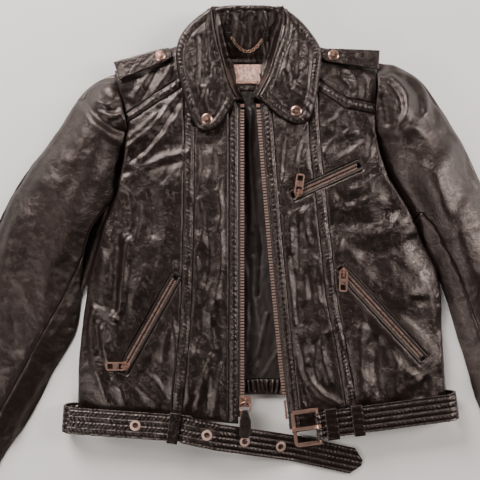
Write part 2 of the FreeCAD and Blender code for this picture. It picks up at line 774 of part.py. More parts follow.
def make_main_slider():
    """The slider of the main zip, at the foot of the left row, with its ring and leather tab."""
    place = Placement(Vector(0, MAIN_SLIDER_Y, mm("zip_level")), Rotation())
    web = mm("main_tooth_width") / 2 + mm("slider_clear")
    shift_x = web + 1.0
    centre = place.multiply(Placement(Vector(shift_x, 0, 0), Rotation()))
    channel = shift_x + mm("main_tooth_width") / 2
    _, top = make_slider("main_slider", 1.0, channel, mm("main_tooth_thick"),
                         "Sizes.main_slider_length", centre, 0.0)
    hinge = Vector(shift_x, MAIN_SLIDER_Y, mm("zip_level") + top + MAIN_LIFT)
    ring = doc.addObject("Part::Torus", "main_pull_ring")
    ring.setExpression("Radius1", "Sizes.ring_radius")
    ring.setExpression("Radius2", "Sizes.ring_wire")
    ring.Placement = Placement(hinge - Vector(0, mm("ring_radius"), 0), Rotation())
    keep(ring, "main_pull_ring")
    body = doc.addObject("PartDesign::Body", "main_pull_tab")
    sketch = new_sketch(body, "tab_outline", "XY_Plane")
    half, long = mm("tab_width") / 2, mm("tab_length")
    closed_lines(sketch, [(-half * 0.45, 1.6), (half * 0.45, 1.6), (half * 0.75, -7), (half, -12),
                          (half, -long + 5), (half - 4, -long), (-half + 4, -long),
                          (-half, -long + 5), (-half, -12), (-half * 0.75, -7)])
    pad(body, sketch, "Sizes.tab_thick", midplane=True)
    doc.recompute()
    groove = new_sketch(body, "ring_way", "YZ_Plane")
    rectangle(groove, "3.1", "2.0", "-3.1", "-1.0")
    pocket(body, groove)
    reach = 2 * mm("ring_radius") - 2
    body.Placement = Placement(hinge - Vector(0, reach, 0), Rotation())
    keep(body, "main_pull_tab")


MAIN_SLIDER_Y = -187.0
MAIN_LIFT = 1.4

# ---------------------------------------------------------------- pocket zips


def make_pocket(name, start, end, pull_way):
    """Welt lips, tapes, two rows of teeth, bag, slider and ladder pull of one pocket."""
    place, length = pocket_frame(start, end)
    margin, half = mm("window_margin"), mm("window_width") / 2
    body = doc.addObject("PartDesign::Body", f"{name}_pocket_welt")
    sketch = new_sketch(body, f"{name}_welt_outline", "XY_Plane")
    closed_lines(sketch, [(-margin + 0.1, -half + 0.1), (length + margin - 0.1, -half + 0.1),
                          (length + margin - 0.1, half - 0.1), (-margin + 0.1, half - 0.1)])
    pad(body, sketch, "Sizes.lip_thick")
    doc.recompute()
    slit = new_sketch(body, f"{name}_slit", "XY_Plane")
    rectangle(slit, f"{length:.3f} + 12", "Sizes.slit_width", "-6", "-Sizes.slit_width / 2")
    pocket(body, slit)
    lift = mm("tape_thick") / 2 + 0.05
    body.Placement = place.multiply(Placement(Vector(0, 0, lift), Rotation()))
    welts.append(body)
    gap, wide = mm("pocket_row_gap"), mm("pocket_tooth_width")
    tape, thick = half - 0.2, mm("tape_thick")
    sides = (1, -1)
    tapes = [Part.makeBox(length + 12, tape - gap - wide, thick,
                          Vector(-6, gap + wide if s > 0 else -tape, -thick / 2)) for s in sides]
    gather("pocket_zip_tapes", Part.makeCompound(tapes), place)
    teeth, x = [], 1.0
    while x < length:
        for s in sides:
            spot = Vector(x + (0.5 * mm("pocket_pitch") if s > 0 else 0), s * (gap + wide / 2), 0)
            item = Part.makeBox(mm("pocket_tooth_length"), wide, mm("pocket_tooth_thick"),
                                spot - Vector(mm("pocket_tooth_length") / 2, wide / 2,
                                              mm("pocket_tooth_thick") / 2))
            teeth.append(item)
        x += mm("pocket_pitch")
    gather("pocket_zip_teeth", Part.makeCompound(teeth), place)
    make_bag(name, start, end)
    # The slider's own Y runs along the zip, so it is turned a quarter from the zip's frame.
    along = place.multiply(Placement(Vector(POCKET_START, 0, 0), yaw(-90)))
    zip_way = math.degrees(math.atan2(end[1] - start[1], end[0] - start[0]))
    pull_turn = pull_way - (zip_way - 90) + 90
    _, top = make_slider(f"{name}_pocket_slider", gap - mm("slider_clear"), gap + wide,
                         mm("pocket_tooth_thick"), "Sizes.pocket_slider_length", along, pull_turn)
    centre = along.Base + Vector(0, 0, top + POCKET_LIFT)
    make_ladder(name, Placement(centre, yaw(pull_way)))


welts = []
POCKET_START = 3.0
POCKET_LIFT = 1.4


def make_ladder(name, place):
    """A flat ladder-shaped pull with two windows; its end bar lies under the slider's bridge."""
    body = doc.addObject("PartDesign::Body", f"{name}_pocket_pull")
    sketch = new_sketch(body, f"{name}_ladder", "XY_Plane")
    half, long, bar = mm("ladder_width") / 2, mm("ladder_length"), mm("ladder_bar") / 2
    closed_lines(sketch, [(-bar, -half + 1.5), (-bar, half - 1.5), (1.2, half), (long - 2.5, half),
                          (long - bar, half - 2.5), (long - bar, -half + 2.5), (long - 2.5, -half),
                          (1.2, -half)])
    pad(body, sketch, "Sizes.ladder_bar", midplane=True)
    doc.recompute()
    holes = new_sketch(body, f"{name}_windows", "XY_Plane")
    inner = "Sizes.ladder_width - 2 * Sizes.ladder_rail"
    low = "-Sizes.ladder_width / 2 + Sizes.ladder_rail"
    rectangle(holes, "7.5", inner, "Sizes.ladder_bar / 2", low)
    rectangle(holes, "7.0", inner, "Sizes.ladder_length - 10", low)
    pocket(body, holes)
    body.Placement = place
    keep(body, f"{name}_pocket_pull")


def make_bag(name, start, end):
    """A flat pocket bag between the leather and the lining."""
    place, length = pocket_frame(start, end)
    depth = 48.0
    low = mm("front_lining_level") + mm("lining") + 0.45 - mm("zip_level")
    bag = polygon([(2, 0), (length - 2, 0), (length - 8, -depth), (8, -depth)])
    shape = prism(bag, low, low + 0.4)
    shape.Placement = place
    limit = FRONT_L if name == "left" else FRONT_R
    inside = prism(limit, 0, TOP).common(shape)
    gather("pocket_bags", inside)


# ---------------------------------------------------------------- belt

BUCKLE = Vector(99.0, -217.0, 0)
BELT_TURN_R = 7.7
BELT_TURN_L = -4.0
FOLD_R = 186.0
LOOP_L = (-89.0, -220.0)
LOOP_R = (149.5, -206.5)
TAIL_TURN = -12.2


def strip_solid(path, width):
    """A strap: a side outline of (along, height) drawn across the strap's width."""
    face = Part.Face(Part.Wire(path))
    face.translate(Vector(0, -width / 2, 0))
    return face.extrude(Vector(0, width, 0))


def arc_edge(centre, radius, start, stop):
    """An arc in the XZ plane, angles in degrees up from +X."""
    spots = []
    for angle in (start, (start + stop) / 2, stop):
        turn = math.radians(angle)
        spots.append(Vector(centre[0] + radius * math.cos(turn), 0, centre[1] + radius * math.sin(turn)))
    return Part.Arc(*spots).toShape()


def folded_strap(start, fold, back_to, flip):
    """A strap's side outline: along the top, round the fold and back along the bed."""
    thick, top = mm("belt_thick"), mm("belt_level") + mm("belt_thick")
    outer = top / 2
    inner = outer - thick
    centre = (fold - outer, outer)
    low = Vector(back_to, 0, 0)
    edges = [Part.LineSegment(Vector(start, 0, top), Vector(centre[0], 0, top)).toShape(),
             arc_edge(centre, outer, 90, -90),
             Part.LineSegment(Vector(centre[0], 0, 0), low).toShape(),
             Part.LineSegment(low, low + Vector(0, 0, thick)).toShape(),
             Part.LineSegment(low + Vector(0, 0, thick), Vector(centre[0], 0, thick)).toShape(),
             arc_edge(centre, inner, -90, 90),
             Part.LineSegment(Vector(centre[0], 0, top - thick), Vector(start, 0, top - thick)).toShape(),
             Part.LineSegment(Vector(start, 0, top - thick), Vector(start, 0, top)).toShape()]
    solid = strip_solid(Part.__sortEdges__(edges), mm("belt_width"))
    if flip:
        solid = solid.mirror(Vector(), Vector(1, 0, 0))
    return solid


def make_belt():
    """Left strap with its free tail, right strap with the buckle, and the strap behind."""
    level, thick = mm("belt_level"), mm("belt_thick")
    place_r = Placement(BUCKLE, yaw(BELT_TURN_R))
    right = folded_strap(7.0, FOLD_R, 150.0, False)
    eye_level = mm("buckle_level")
    eye = Part.makeCylinder(mm("buckle_bar") + 2.4, mm("belt_width"),
                            Vector(0, -mm("belt_width") / 2, eye_level), Vector(0, 1, 0))
    neck = Part.makeBox(10.0, mm("belt_width"), thick, Vector(0, -mm("belt_width") / 2, level))
    right = right.fuse([eye, neck])
    bore = Part.makeCylinder(mm("buckle_bar") + 0.5, mm("belt_width") + 2,
                             Vector(0, -mm("belt_width") / 2 - 1, eye_level), Vector(0, 1, 0))
    slot = Part.makeBox(14.0, mm("prong_width") + 1.2, 20.0,
                        Vector(-7.0, -mm("prong_width") / 2 - 0.6, level - 1.0))
    shaped("belt_right", right.cut(bore).cut(slot).removeSplitter(), place_r)

    # The left strap's frame: X runs from the fold to the tail.
    place_l = Placement(Vector(LOOP_L[0], LOOP_L[1], 0), yaw(BELT_TURN_L))
    left = folded_strap(-20.0, 148.0, 120.0, True)
    left = left.fuse(Part.makeBox(24.0, mm("belt_width"), thick,
                                  Vector(-2.0, -mm("belt_width") / 2, level)))
    left.Placement = place_l
    tail = tail_solid()
    tail.Placement = Placement(Vector(LOOP_L[0], LOOP_L[1], 0), yaw(TAIL_TURN))
    strap = left.fuse(tail).removeSplitter()
    for frame in eyelet_frames():
        hole = Part.makeCylinder(mm("eyelet_bore") + 0.9, 2 * thick, Vector(0, 0, -thick))
        hole.Placement = frame
        strap = strap.cut(hole)
    shaped("belt_left", strap)

    back = [(-195, -200), (-60, -168), (10, -164), (80, -168), (238, -188)]
    half = mm("belt_width") / 2
    band = region(curve(shift(back, 0, half)),
                  lines([(238, -188 + half), (238, -188 - half)]),
                  curve(shift(back, 0, -half)[::-1]),
                  lines([(-195, -200 - half), (-195, -200 + half)]))
    behind = prism(band, 0, thick)
    for item in parts:
        if item.Label in ("belt_left", "belt_right"):
            behind = behind.cut(item.Shape)
    shaped("belt_back", behind)


TAIL_FLAT = 58.0  # the tail stays level this far past the loop
TAIL_DOWN = 165.0  # and lies on the bed from here
TAIL_TIP = 255.0


def tail_line():
    """The tail's lower side as (along, height)."""
    return [(12.0, mm("belt_level")), (TAIL_FLAT, mm("belt_level")), (TAIL_DOWN, 0.2)]


def tail_solid():
    """The tail: level over the hem, down to the bed, and on to a pointed tip."""
    thick, half = mm("belt_thick"), mm("belt_width") / 2
    low = tail_line() + [(TAIL_TIP, 0.2)]
    places = [Vector(x, 0, z) for x, z in low]
    places += [Vector(x, 0, z + thick) for x, z in low[::-1]]
    face = Part.Face(Part.makePolygon(places + places[:1]))
    face.translate(Vector(0, -half, 0))
    strap = face.extrude(Vector(0, 2 * half, 0))
    plan = polygon([(0, -half), (TAIL_TIP - 13, -half), (TAIL_TIP, -4), (TAIL_TIP, 4),
                    (TAIL_TIP - 13, half), (0, half)])
    return strap.common(prism(plan, -1, TOP))


def eyelet_frames():
    """Where each eyelet sits: its placement on the strap's top face."""
    frames = []
    thick = mm("belt_thick")
    left = Placement(Vector(LOOP_L[0], LOOP_L[1], 0), yaw(BELT_TURN_L))
    tail = Placement(Vector(LOOP_L[0], LOOP_L[1], 0), yaw(TAIL_TURN))
    for x in (-50.0, 0.0):
        spot = Placement(Vector(x, 0, mm("belt_level") + thick / 2), Rotation())
        frames.append(left.multiply(spot))
    (x0, z0), (x1, z1) = tail_line()[1:]
    fall = math.degrees(math.atan2(z0 - z1, x1 - x0))
    for x in (44.0, 94.0, 143.0):
        slope = fall if x > x0 else 0.0
        z = z0 - math.tan(math.radians(slope)) * (x - x0) + thick / 2
        spot = Placement(Vector(x, 0, z), Rotation(Vector(0, 1, 0), slope))
        frames.append(tail.multiply(spot))
    return frames


def make_eyelets():
    """Five rolled metal eyelets in the strap, turned rings that grip both faces."""
    outer, bore, lip = mm("eyelet_outer"), mm("eyelet_bore"), mm("eyelet_lip")
    half = mm("belt_thick") / 2
    barrel = bore + 0.8
    body = doc.addObject("PartDesign::Body", "eyelet_pattern")
    turned(body, "eyelet_profile", [(bore, -half - lip), (outer, -half - 0.05 - lip / 2),
                                    (outer, -half - 0.05), (barrel, -half - 0.05),
                                    (barrel, half + 0.05), (outer, half + 0.05),
                                    (outer, half + 0.05 + lip / 2), (bore, half + lip)])
    doc.recompute()
    rings = []
    for frame in eyelet_frames():
        ring = body.Shape.copy()
        ring.Placement = frame
        rings.append(ring)
    shaped("belt_eyelets", Part.makeCompound(rings))


def sleeve_band(label, width, place):
    """A leather band round the belt: a belt loop or the keeper."""
    side_clear, clear, under = 1.0, 1.1, 0.8
    inner = mm("belt_width") / 2 + side_clear
    low, high = mm("belt_level") - clear, mm("belt_level") + mm("belt_thick") + clear
    body = doc.addObject("PartDesign::Body", label)
    outside = new_sketch(body, label + "_outside", "YZ_Plane")
    rectangle(outside, f"2 * ({inner:.3f} + Sizes.loop_thick)",
              f"{high - low:.3f} + Sizes.loop_thick + {under:.3f}",
              f"-({inner:.3f} + Sizes.loop_thick)", f"{low:.3f} - {under:.3f}")
    pad(body, outside, f"{width:.3f}", midplane=True)
    doc.recompute()
    inside = new_sketch(body, label + "_inside", "YZ_Plane")
    rectangle(inside, f"2 * {inner:.3f}", f"{high - low:.3f}", f"-{inner:.3f}", f"{low:.3f}")
    pocket(body, inside)
    body.Placement = place
    return body


def make_belt_fittings():
    """Two belt loops, the sliding keeper, the buckle frame and its prong."""
    place_r = Placement(BUCKLE, yaw(BELT_TURN_R))
    loops = [sleeve_band("belt_loop_L", mm("loop_width"),
                         Placement(Vector(LOOP_L[0], LOOP_L[1], 0), yaw(-8.0))),
             sleeve_band("belt_loop_R", mm("loop_width"),
                         place_r.multiply(Placement(Vector(51.5, 0, 0), Rotation())))]
    linked("belt_loops", loops)
    keeper = sleeve_band("belt_keeper", mm("keeper_width"),
                         place_r.multiply(Placement(Vector(17.5, 0, 0), Rotation())))
    keep(keeper, "belt_keeper")
    make_buckle(place_r)


def make_buckle(place):
    """A rounded frame that turns on the strap's eye, and a prong on the same bar."""
    wide, tall, rail = mm("buckle_width"), mm("buckle_height"), mm("buckle_rail")
    body = doc.addObject("PartDesign::Body", "buckle_plate")
    sketch = new_sketch(body, "buckle_outside", "XY_Plane")
    rectangle(sketch, "Sizes.buckle_width", "Sizes.buckle_height", "-Sizes.buckle_width + 2",
              "-Sizes.buckle_height / 2")
    pad(body, sketch, "Sizes.buckle_thick", midplane=True)
    doc.recompute()
    hole = new_sketch(body, "buckle_inside", "XY_Plane")
    rectangle(hole, "Sizes.buckle_width", "Sizes.buckle_height - 2 * Sizes.buckle_rail",
              "-Sizes.buckle_width + 2 + Sizes.buckle_rail", "-Sizes.buckle_height / 2 + Sizes.buckle_rail")
    pocket(body, hole)
    corners = [index + 1 for index, edge in enumerate(body.Shape.Edges)
               if abs(edge.Vertexes[0].X - edge.Vertexes[-1].X) < 0.01
               and abs(edge.Vertexes[0].Y - edge.Vertexes[-1].Y) < 0.01
               and edge.CenterOfMass.x < -wide + 3 and abs(edge.CenterOfMass.y) > tall / 2 - 1]
    plate = body.Tip
    fillet = body.newObject("PartDesign::Fillet", "buckle_corners")
    fillet.Base = (plate, [f"Edge{index}" for index in corners])
    fillet.Radius = 6.0
    bar = doc.addObject("Part::Cylinder", "buckle_bar")
    bar.setExpression("Radius", "Sizes.buckle_bar")
    bar.setExpression("Height", "Sizes.buckle_height - Sizes.buckle_rail")
    bar.Placement = Placement(Vector(0, (tall - rail) / 2, 0), Rotation(Vector(1, 0, 0), 90))
    frame = doc.addObject("Part::Fuse", "buckle_frame")
    frame.Base = body
    frame.Tool = bar
    level = Placement(Vector(0, 0, mm("buckle_level")), Rotation())
    frame.Placement = place.multiply(level)
    keep(frame, "buckle_frame")
    across, thick = mm("prong_width"), mm("prong_thick")
    reach, rest = wide, mm("buckle_thick") / 2 + 0.3
    side = [Vector(-2.5, 0, -1.5), Vector(-2.5, 0, 2.6), Vector(-6, 0, rest + thick),
            Vector(-reach + 1, 0, rest + thick - 0.2), Vector(-reach, 0, rest + thick / 2),
            Vector(-reach + 1.5, 0, rest), Vector(-8, 0, rest), Vector(-5, 0, 0.2)]
    arm = Part.Face(Part.makePolygon(side + side[:1])).extrude(Vector(0, across, 0))
    arm.translate(Vector(0, -across / 2, 0))
    eye = Part.makeCylinder(3.6, across, Vector(0, -across / 2, 0), Vector(0, 1, 0))
    bore = Part.makeCylinder(mm("buckle_bar") + 0.3, across + 2, Vector(0, -across / 2 - 1, 0),
                             Vector(0, 1, 0))
    prong = eye.fuse(arm).cut(bore).removeSplitter()
    shaped("buckle_prong", prong, place.multiply(level))


# ---------------------------------------------------------------- the whole jacket


def make_all():
    make_front("L", FRONT_L, ["left"])
    make_front("R", FRONT_R, ["chest", "right"])
    make_facing("L")
    make_facing("R")
    make_back()
    make_sleeve("L", SLEEVE_L, ARMHOLE_L, SLEEVE_OUTER_L, SLEEVE_INNER_L, SLEEVE_SEAM_L,
                [(-330, -360), (-140, 0)])
    make_sleeve("R", SLEEVE_R, ARMHOLE_R, SLEEVE_OUTER_R, SLEEVE_INNER_R, SLEEVE_SEAM_R,
                [(300, -360), (200, 0)])
    make_leaf("L", LEAF_EDGE_L, LEAF_ROLL_L)
    make_leaf("R", LEAF_EDGE_R, LEAF_ROLL_R)
    make_stand()
    make_hanger()
    for side in ("L", "R"):
        make_collar_snap(side)
        make_epaulette(side)
    make_studs()
    make_main_zip()
    make_main_slider()
    for name, (start, end, way) in POCKETS.items():
        make_pocket(name, start, end, way)
    linked("pocket_welts", welts)
    make_belt()
    make_eyelets()
    make_belt_fittings()
    make_groups()


def check_and_write():
    """Stops at any failed feature or bad shape, then writes every sub-part."""
    doc.recompute()
    for item in doc.Objects:
        if "Invalid" in item.State or "Error" in item.State:
            raise ValueError(f"{item.Name}: {item.State}")
    for item in parts:
        shape = item.Shape
        if shape.isNull() or not shape.isValid() or not shape.Solids:
            raise ValueError(f"{item.Label}: null, not valid or not solid")
    for item in parts:
        item.Shape.exportStep(f"parts/{item.Label}.step")
    box = FreeCAD.BoundBox()
    for item in parts:
        box.add(item.Shape.BoundBox)
    print(f"{len(parts)} parts, {box}")


make_all()
check_and_write()
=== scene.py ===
import math

import bpy
import numpy as np
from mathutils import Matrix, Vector
from mathutils.bvhtree import BVHTree
from mathutils.geometry import delaunay_2d_cdt


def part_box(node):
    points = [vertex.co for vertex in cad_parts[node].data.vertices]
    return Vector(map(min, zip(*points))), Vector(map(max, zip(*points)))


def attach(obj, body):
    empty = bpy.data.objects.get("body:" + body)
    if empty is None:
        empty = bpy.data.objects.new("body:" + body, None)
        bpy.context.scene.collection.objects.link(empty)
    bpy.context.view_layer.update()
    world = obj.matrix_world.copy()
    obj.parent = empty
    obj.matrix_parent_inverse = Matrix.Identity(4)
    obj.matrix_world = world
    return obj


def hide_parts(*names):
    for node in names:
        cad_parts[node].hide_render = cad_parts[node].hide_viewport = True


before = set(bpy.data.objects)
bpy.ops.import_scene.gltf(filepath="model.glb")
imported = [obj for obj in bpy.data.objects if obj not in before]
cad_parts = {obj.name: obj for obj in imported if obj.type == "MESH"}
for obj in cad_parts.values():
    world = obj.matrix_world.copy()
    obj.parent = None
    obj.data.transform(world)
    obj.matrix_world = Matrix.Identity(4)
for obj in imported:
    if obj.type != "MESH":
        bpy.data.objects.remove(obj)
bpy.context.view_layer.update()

MM = 0.001
ABOVE = 200.0  # rays start above the whole jacket, mm
DOWN = Vector((0, 0, -1))

# ---------------------------------------------------------------- camera, floor and light


def set_camera():
    """Straight above the jacket, a little towards the hem."""
    data = bpy.data.cameras.new("camera")
    data.lens = 54.0
    data.clip_start = 0.01
    camera = bpy.data.objects.new("camera", data)
    bpy.context.scene.collection.objects.link(camera)
    camera.location = (-0.003, 0.024, 0.965)
    bpy.context.scene.camera = camera


def area_light(name, place, aim, size, power, colour):
    data = bpy.data.lights.new(name, "AREA")
    data.shape, data.size, data.size_y = "RECTANGLE", size[0], size[1]
    data.energy, data.color = power, colour
    lamp = bpy.data.objects.new(name, data)
    lamp.location = place
    lamp.rotation_euler = (Vector(aim) - Vector(place)).to_track_quat("-Z", "Y").to_euler()
    bpy.context.scene.collection.objects.link(lamp)


def set_light():
    world = bpy.data.worlds.new("studio")
    world.use_nodes = True
    back = world.node_tree.nodes["Background"]
    back.inputs["Color"].default_value = (0.86, 0.82, 0.80, 1)
    back.inputs["Strength"].default_value = 0.05
    bpy.context.scene.world = world
    area_light("window", (-0.75, 1.35, 0.95), (0, 0, 0), (0.9, 0.7), 58, (1.0, 0.955, 0.93))
    area_light("window_right", (1.45, 0.35, 0.80), (0, 0, 0), (0.4, 1.1), 27, (1.0, 0.94, 0.91))
    area_light("room", (-1.2, -0.9, 0.95), (0, 0, 0), (0.9, 0.6), 15, (1.0, 0.94, 0.91))


# ---------------------------------------------------------------- materials


class Shader:
    """A node material being put together round one Principled shader."""

    def __init__(self, name, **values):
        self.material = bpy.data.materials.new(name)
        self.material.use_nodes = True
        self.tree = self.material.node_tree
        self.shader = self.tree.nodes["Principled BSDF"]
        for key, value in values.items():
            self.shader.inputs[key.replace("_", " ")].default_value = value
        self.place = self.tree.nodes.new("ShaderNodeTexCoord").outputs["Object"]

    def node(self, kind, links=(), **settings):
        item = self.tree.nodes.new("ShaderNode" + kind)
        for key, value in settings.items():
            if hasattr(item, key):
                setattr(item, key, value)
            else:
                item.inputs[key.replace("_", " ")].default_value = value
        for key, source in dict(links).items():
            self.tree.links.new(source, item.inputs[key])
        return item

    def noise(self, scale, detail=4.0, rough=0.55, stretch=None, warp=0.0):
        place = self.stretched(stretch) if stretch else self.place
        item = self.node("TexNoise", {"Vector": place}, Scale=scale, Detail=detail,
                         Roughness=rough, Distortion=warp)
        return item.outputs["Fac"]

    def stretched(self, stretch):
        item = self.node("Mapping", {"Vector": self.place})
        item.inputs["Scale"].default_value = stretch
        return item.outputs["Vector"]

    def ramp(self, source, stops):
        item = self.node("ValToRGB", {"Fac": source})
        bar = item.color_ramp
        while len(bar.elements) < len(stops):
            bar.elements.new(0.5)
        for element, (spot, colour) in zip(bar.elements, stops):
            element.position = spot
            grey = isinstance(colour, float)
            element.color = (colour, colour, colour, 1) if grey else (*colour, 1)
        return item.outputs["Color"]

    def mix(self, share, first, second, blend="MIX"):
        item = self.node("Mix", data_type="RGBA", blend_type=blend)
        sockets = [item.inputs[0], item.inputs[6], item.inputs[7]]
        for socket, value in zip(sockets, (share, first, second)):
            if isinstance(value, bpy.types.NodeSocket):
                self.tree.links.new(value, socket)
            else:
                socket.default_value = value if isinstance(value, float) else (*value, 1)
        return item.outputs[2]

    def maths(self, way, first, second):
        item = self.node("Math", operation=way)
        for socket, value in zip(item.inputs, (first, second)):
            if isinstance(value, bpy.types.NodeSocket):
                self.tree.links.new(value, socket)
            else:
                socket.default_value = value
        return item.outputs[0]

    def bumps(self, layers):
        """Layers of bump, one on another: (height, strength, distance in mm)."""
        normal = None
        for height, strength, distance in layers:
            links = {"Height": height}
            if normal:
                links["Normal"] = normal
            item = self.node("Bump", links, Strength=strength, Distance=distance * MM)
            normal = item.outputs["Normal"]
        self.tree.links.new(normal, self.shader.inputs["Normal"])

    def set(self, name, source):
        self.tree.links.new(source, self.shader.inputs[name])


def wear_and_highlight_mask(art, low, high):
    """1 on ridges and edges, 0 on flats: where rubbed wear and a painted highlight go."""
    edge = art.node("NewGeometry").outputs["Pointiness"]
    return art.ramp(edge, [(low, 0.0), (high, 1.0)])


def leather(name, dark, mid, worn_and_lit_tone, rough, crinkle, coat):
    art = Shader(name, Specular_IOR_Level=0.72, Specular_Tint=(1.0, 0.83, 0.77, 1.0),
                 Coat_Weight=coat, Coat_Roughness=0.30)
    cloud = art.noise(9.0, 5.0, 0.6)
    mottle = art.noise(46.0, 4.0, 0.65, warp=0.4)
    base = art.mix(art.ramp(cloud, [(0.36, 0.0), (0.66, 1.0)]), dark, mid)
    base = art.mix(art.maths("MULTIPLY", mottle, 0.25), base, worn_and_lit_tone)
    # ridges and edges painted toward the lighter tone: partly rubbed wear, partly a painted
    # highlight
    base = art.mix(art.maths("MULTIPLY", wear_and_highlight_mask(art, 0.51, 0.58), 0.35), base, worn_and_lit_tone)
    cells = art.node("TexVoronoi", {"Vector": art.place}, feature="DISTANCE_TO_EDGE", Scale=780.0)
    pore = art.ramp(cells.outputs["Distance"], [(0.0, 0.0), (0.22, 1.0)])
    fine = art.noise(900.0, 3.0, 0.6)
    crease = art.noise(95.0, 6.0, 0.62, warp=1.1)
    ridged = art.maths("ABSOLUTE", art.maths("SUBTRACT", crease, 0.5), 0.0)
    lines = art.ramp(ridged, [(0.0, 0.0), (0.07, 0.75), (0.2, 1.0)])
    soft = art.noise(38.0, 3.0, 0.5, warp=0.6)
    art.set("Base Color", base)
    sheen = art.maths("ADD", art.maths("MULTIPLY", art.noise(22.0, 5.0, 0.7), 0.28), rough - 0.15)
    art.set("Roughness", art.maths("ADD", sheen, art.maths("MULTIPLY", mottle, 0.08)))
    small = art.noise(210.0, 4.0, 0.6, warp=0.8)
    art.bumps([(soft, 0.28 * crinkle, 2.0), (lines, 0.38 * crinkle, 0.55),
               (small, 0.50 * crinkle, 0.6), (pore, 0.22, 0.12),
               (fine, 0.25, 0.10)])
    return art.material


def metal(name, deep, bright, rough, metallic=0.9):
    art = Shader(name, Metallic=metallic)
    patina = art.noise(260.0, 5.0, 0.65, warp=0.5)
    base = art.mix(art.ramp(patina, [(0.38, 0.0), (0.62, 1.0)]), deep, bright)
    # edges and ridges painted brighter than the bright copper: partly rubbed wear, partly a painted
    # highlight
    lift = min(1.4, 1.0 / max(bright))
    base = art.mix(wear_and_highlight_mask(art, 0.51, 0.58), base, tuple(lift * c for c in bright))
    art.set("Base Color", base)
    art.set("Roughness", art.maths("ADD", art.maths("MULTIPLY", patina, 0.3), rough - 0.15))
    scratch = art.noise(700.0, 4.0, 0.7, stretch=(1, 6, 1))
    art.bumps([(scratch, 0.25, 0.08), (patina, 0.2, 0.15)])
    return art.material


def woven(name, dark, light, scale, rough, depth=0.3, sheen=0.2, turn=0.0, figure=0):
    """A fine woven cloth: two crossed sets of threads."""
    art = Shader(name, Sheen_Weight=sheen, Sheen_Roughness=0.4)
    place = art.node("Mapping", {"Vector": art.place})
    place.inputs["Rotation"].default_value = (0, 0, turn)
    waves = []
    for way in ("X", "Y"):
        wave = art.node("TexWave", {"Vector": place.outputs["Vector"]}, bands_direction=way,
                        Scale=scale, Distortion=0.25, Detail=1.0)
        waves.append(wave.outputs["Fac"])
    weave = art.maths("MAXIMUM", waves[0], waves[1])
    cloud = art.noise(30.0, 4.0)
    base = art.mix(weave, dark, light)
    if figure:
        lumps = art.ramp(art.noise(figure, 3.0, 0.5, warp=0.7), [(0.46, 0.0), (0.54, 1.0)])
        base = art.mix(art.maths("MULTIPLY", lumps, 0.75), base, tuple(0.45 * c for c in dark))
    art.set("Base Color", art.mix(art.maths("MULTIPLY", cloud, 0.5), base, dark))
    art.set("Roughness", art.maths("ADD", art.maths("MULTIPLY", cloud, 0.2), rough - 0.1))
    art.bumps([(cloud, 0.25, 1.2), (weave, depth, 0.1)])
    return art.material


def make_materials():
    black = (0.0026, 0.0012, 0.0009), (0.0062, 0.0031, 0.0024), (0.020, 0.0115, 0.0092)
    browner = (0.0040, 0.0019, 0.0015), (0.0088, 0.0045, 0.0035), (0.024, 0.0140, 0.0114)
    return {
        "leather": leather("lambskin", *black, 0.30, 1.0, coat=0.06),
        "sleeve_leather": leather("lambskin_satin", *browner, 0.365, 0.9, coat=0.03),
        "belt_leather": leather("strap_leather", *black, 0.29, 0.8, coat=0.10),
        "lining": woven("satin_lining", (0.015, 0.0112, 0.0103), (0.034, 0.0262, 0.0242), 900,
                        0.42),
        "zip_tape": woven("zip_tape_cloth", (0.010, 0.008, 0.0075), (0.030, 0.024, 0.022), 700,
                          0.75, turn=0.785),
        "label": woven("label_cloth", (0.62, 0.32, 0.24), (1.0, 0.72, 0.62), 420, 0.6, 0.6,
                       figure=230),
        "thread": woven("waxed_thread", (0.009, 0.0055, 0.0048), (0.034, 0.0225, 0.019), 1500, 0.45,
                        turn=0.6),
        "label_thread": woven("label_thread_cloth", (0.24, 0.08, 0.06), (0.42, 0.17, 0.13), 1500,
                              0.5, turn=0.6),
        "antique_copper": metal("antique_copper_metal", (0.10, 0.048, 0.036),
                                (0.56, 0.345, 0.275), 0.33),
        "zip_copper": metal("zip_copper_metal", (0.27, 0.15, 0.118), (0.80, 0.54, 0.455), 0.28,
                            0.88),
        "eyelet_copper": metal("eyelet_copper_metal", (0.42, 0.25, 0.20),
                               (0.92, 0.64, 0.54), 0.34, 0.7),
        "chain_bronze": metal("chain_bronze_metal", (0.10, 0.060, 0.045), (0.42, 0.27, 0.20), 0.4),
    }


# ---------------------------------------------------------------- reading the CAD meshes, mm


def cad(node):
    """Welded corner points in mm, and faces, of a CAD node."""
    mesh = bpy.data.objects[node].data
    flat = np.empty(len(mesh.vertices) * 3)
    mesh.vertices.foreach_get("co", flat)
    keys, weld = np.unique(np.round(flat.reshape(-1, 3) * 1000, 2), axis=0, return_inverse=True)
    weld = weld.reshape(-1)
    faces = []
    for polygon in mesh.polygons:
        face = list(dict.fromkeys(int(weld[k]) for k in polygon.vertices))
        if len(face) > 2:
            faces.append(face)
    return keys, faces


def face_normal(points, face):
    corners = points[face]
    return np.cross(corners, np.roll(corners, -1, axis=0)).sum(axis=0)


def outlines(node, wanted=None, steep=0.15):
    """Closed outlines of a node's upward faces: (n, 3) arrays, counter-clockwise outside."""
    points, faces = cad(node)
    onward = {}
    edges = set()
    for face in faces:
        normal = face_normal(points, face)
        size = np.linalg.norm(normal)
        if size < 1e-9 or normal[2] <= steep * size:
            continue
        if wanted and not wanted(points[face].mean(axis=0)):
            continue
        for a, b in zip(face, face[1:] + face[:1]):
            if (b, a) in edges:
                edges.discard((b, a))
            else:
                edges.add((a, b))
    for a, b in edges:
        onward.setdefault(a, []).append(b)
    loops = []
    while onward:
        start = min(onward)
        loop, spot = [start], start
        while True:
            after = onward[spot].pop()
            if not onward[spot]:
                del onward[spot]
            if after == start or after not in onward:
                break
            loop.append(after)
            spot = after
        if len(loop) > 2:
            loops.append(points[loop])
    return [loop for loop in loops if abs(flat_area(loop)) > 4.0]


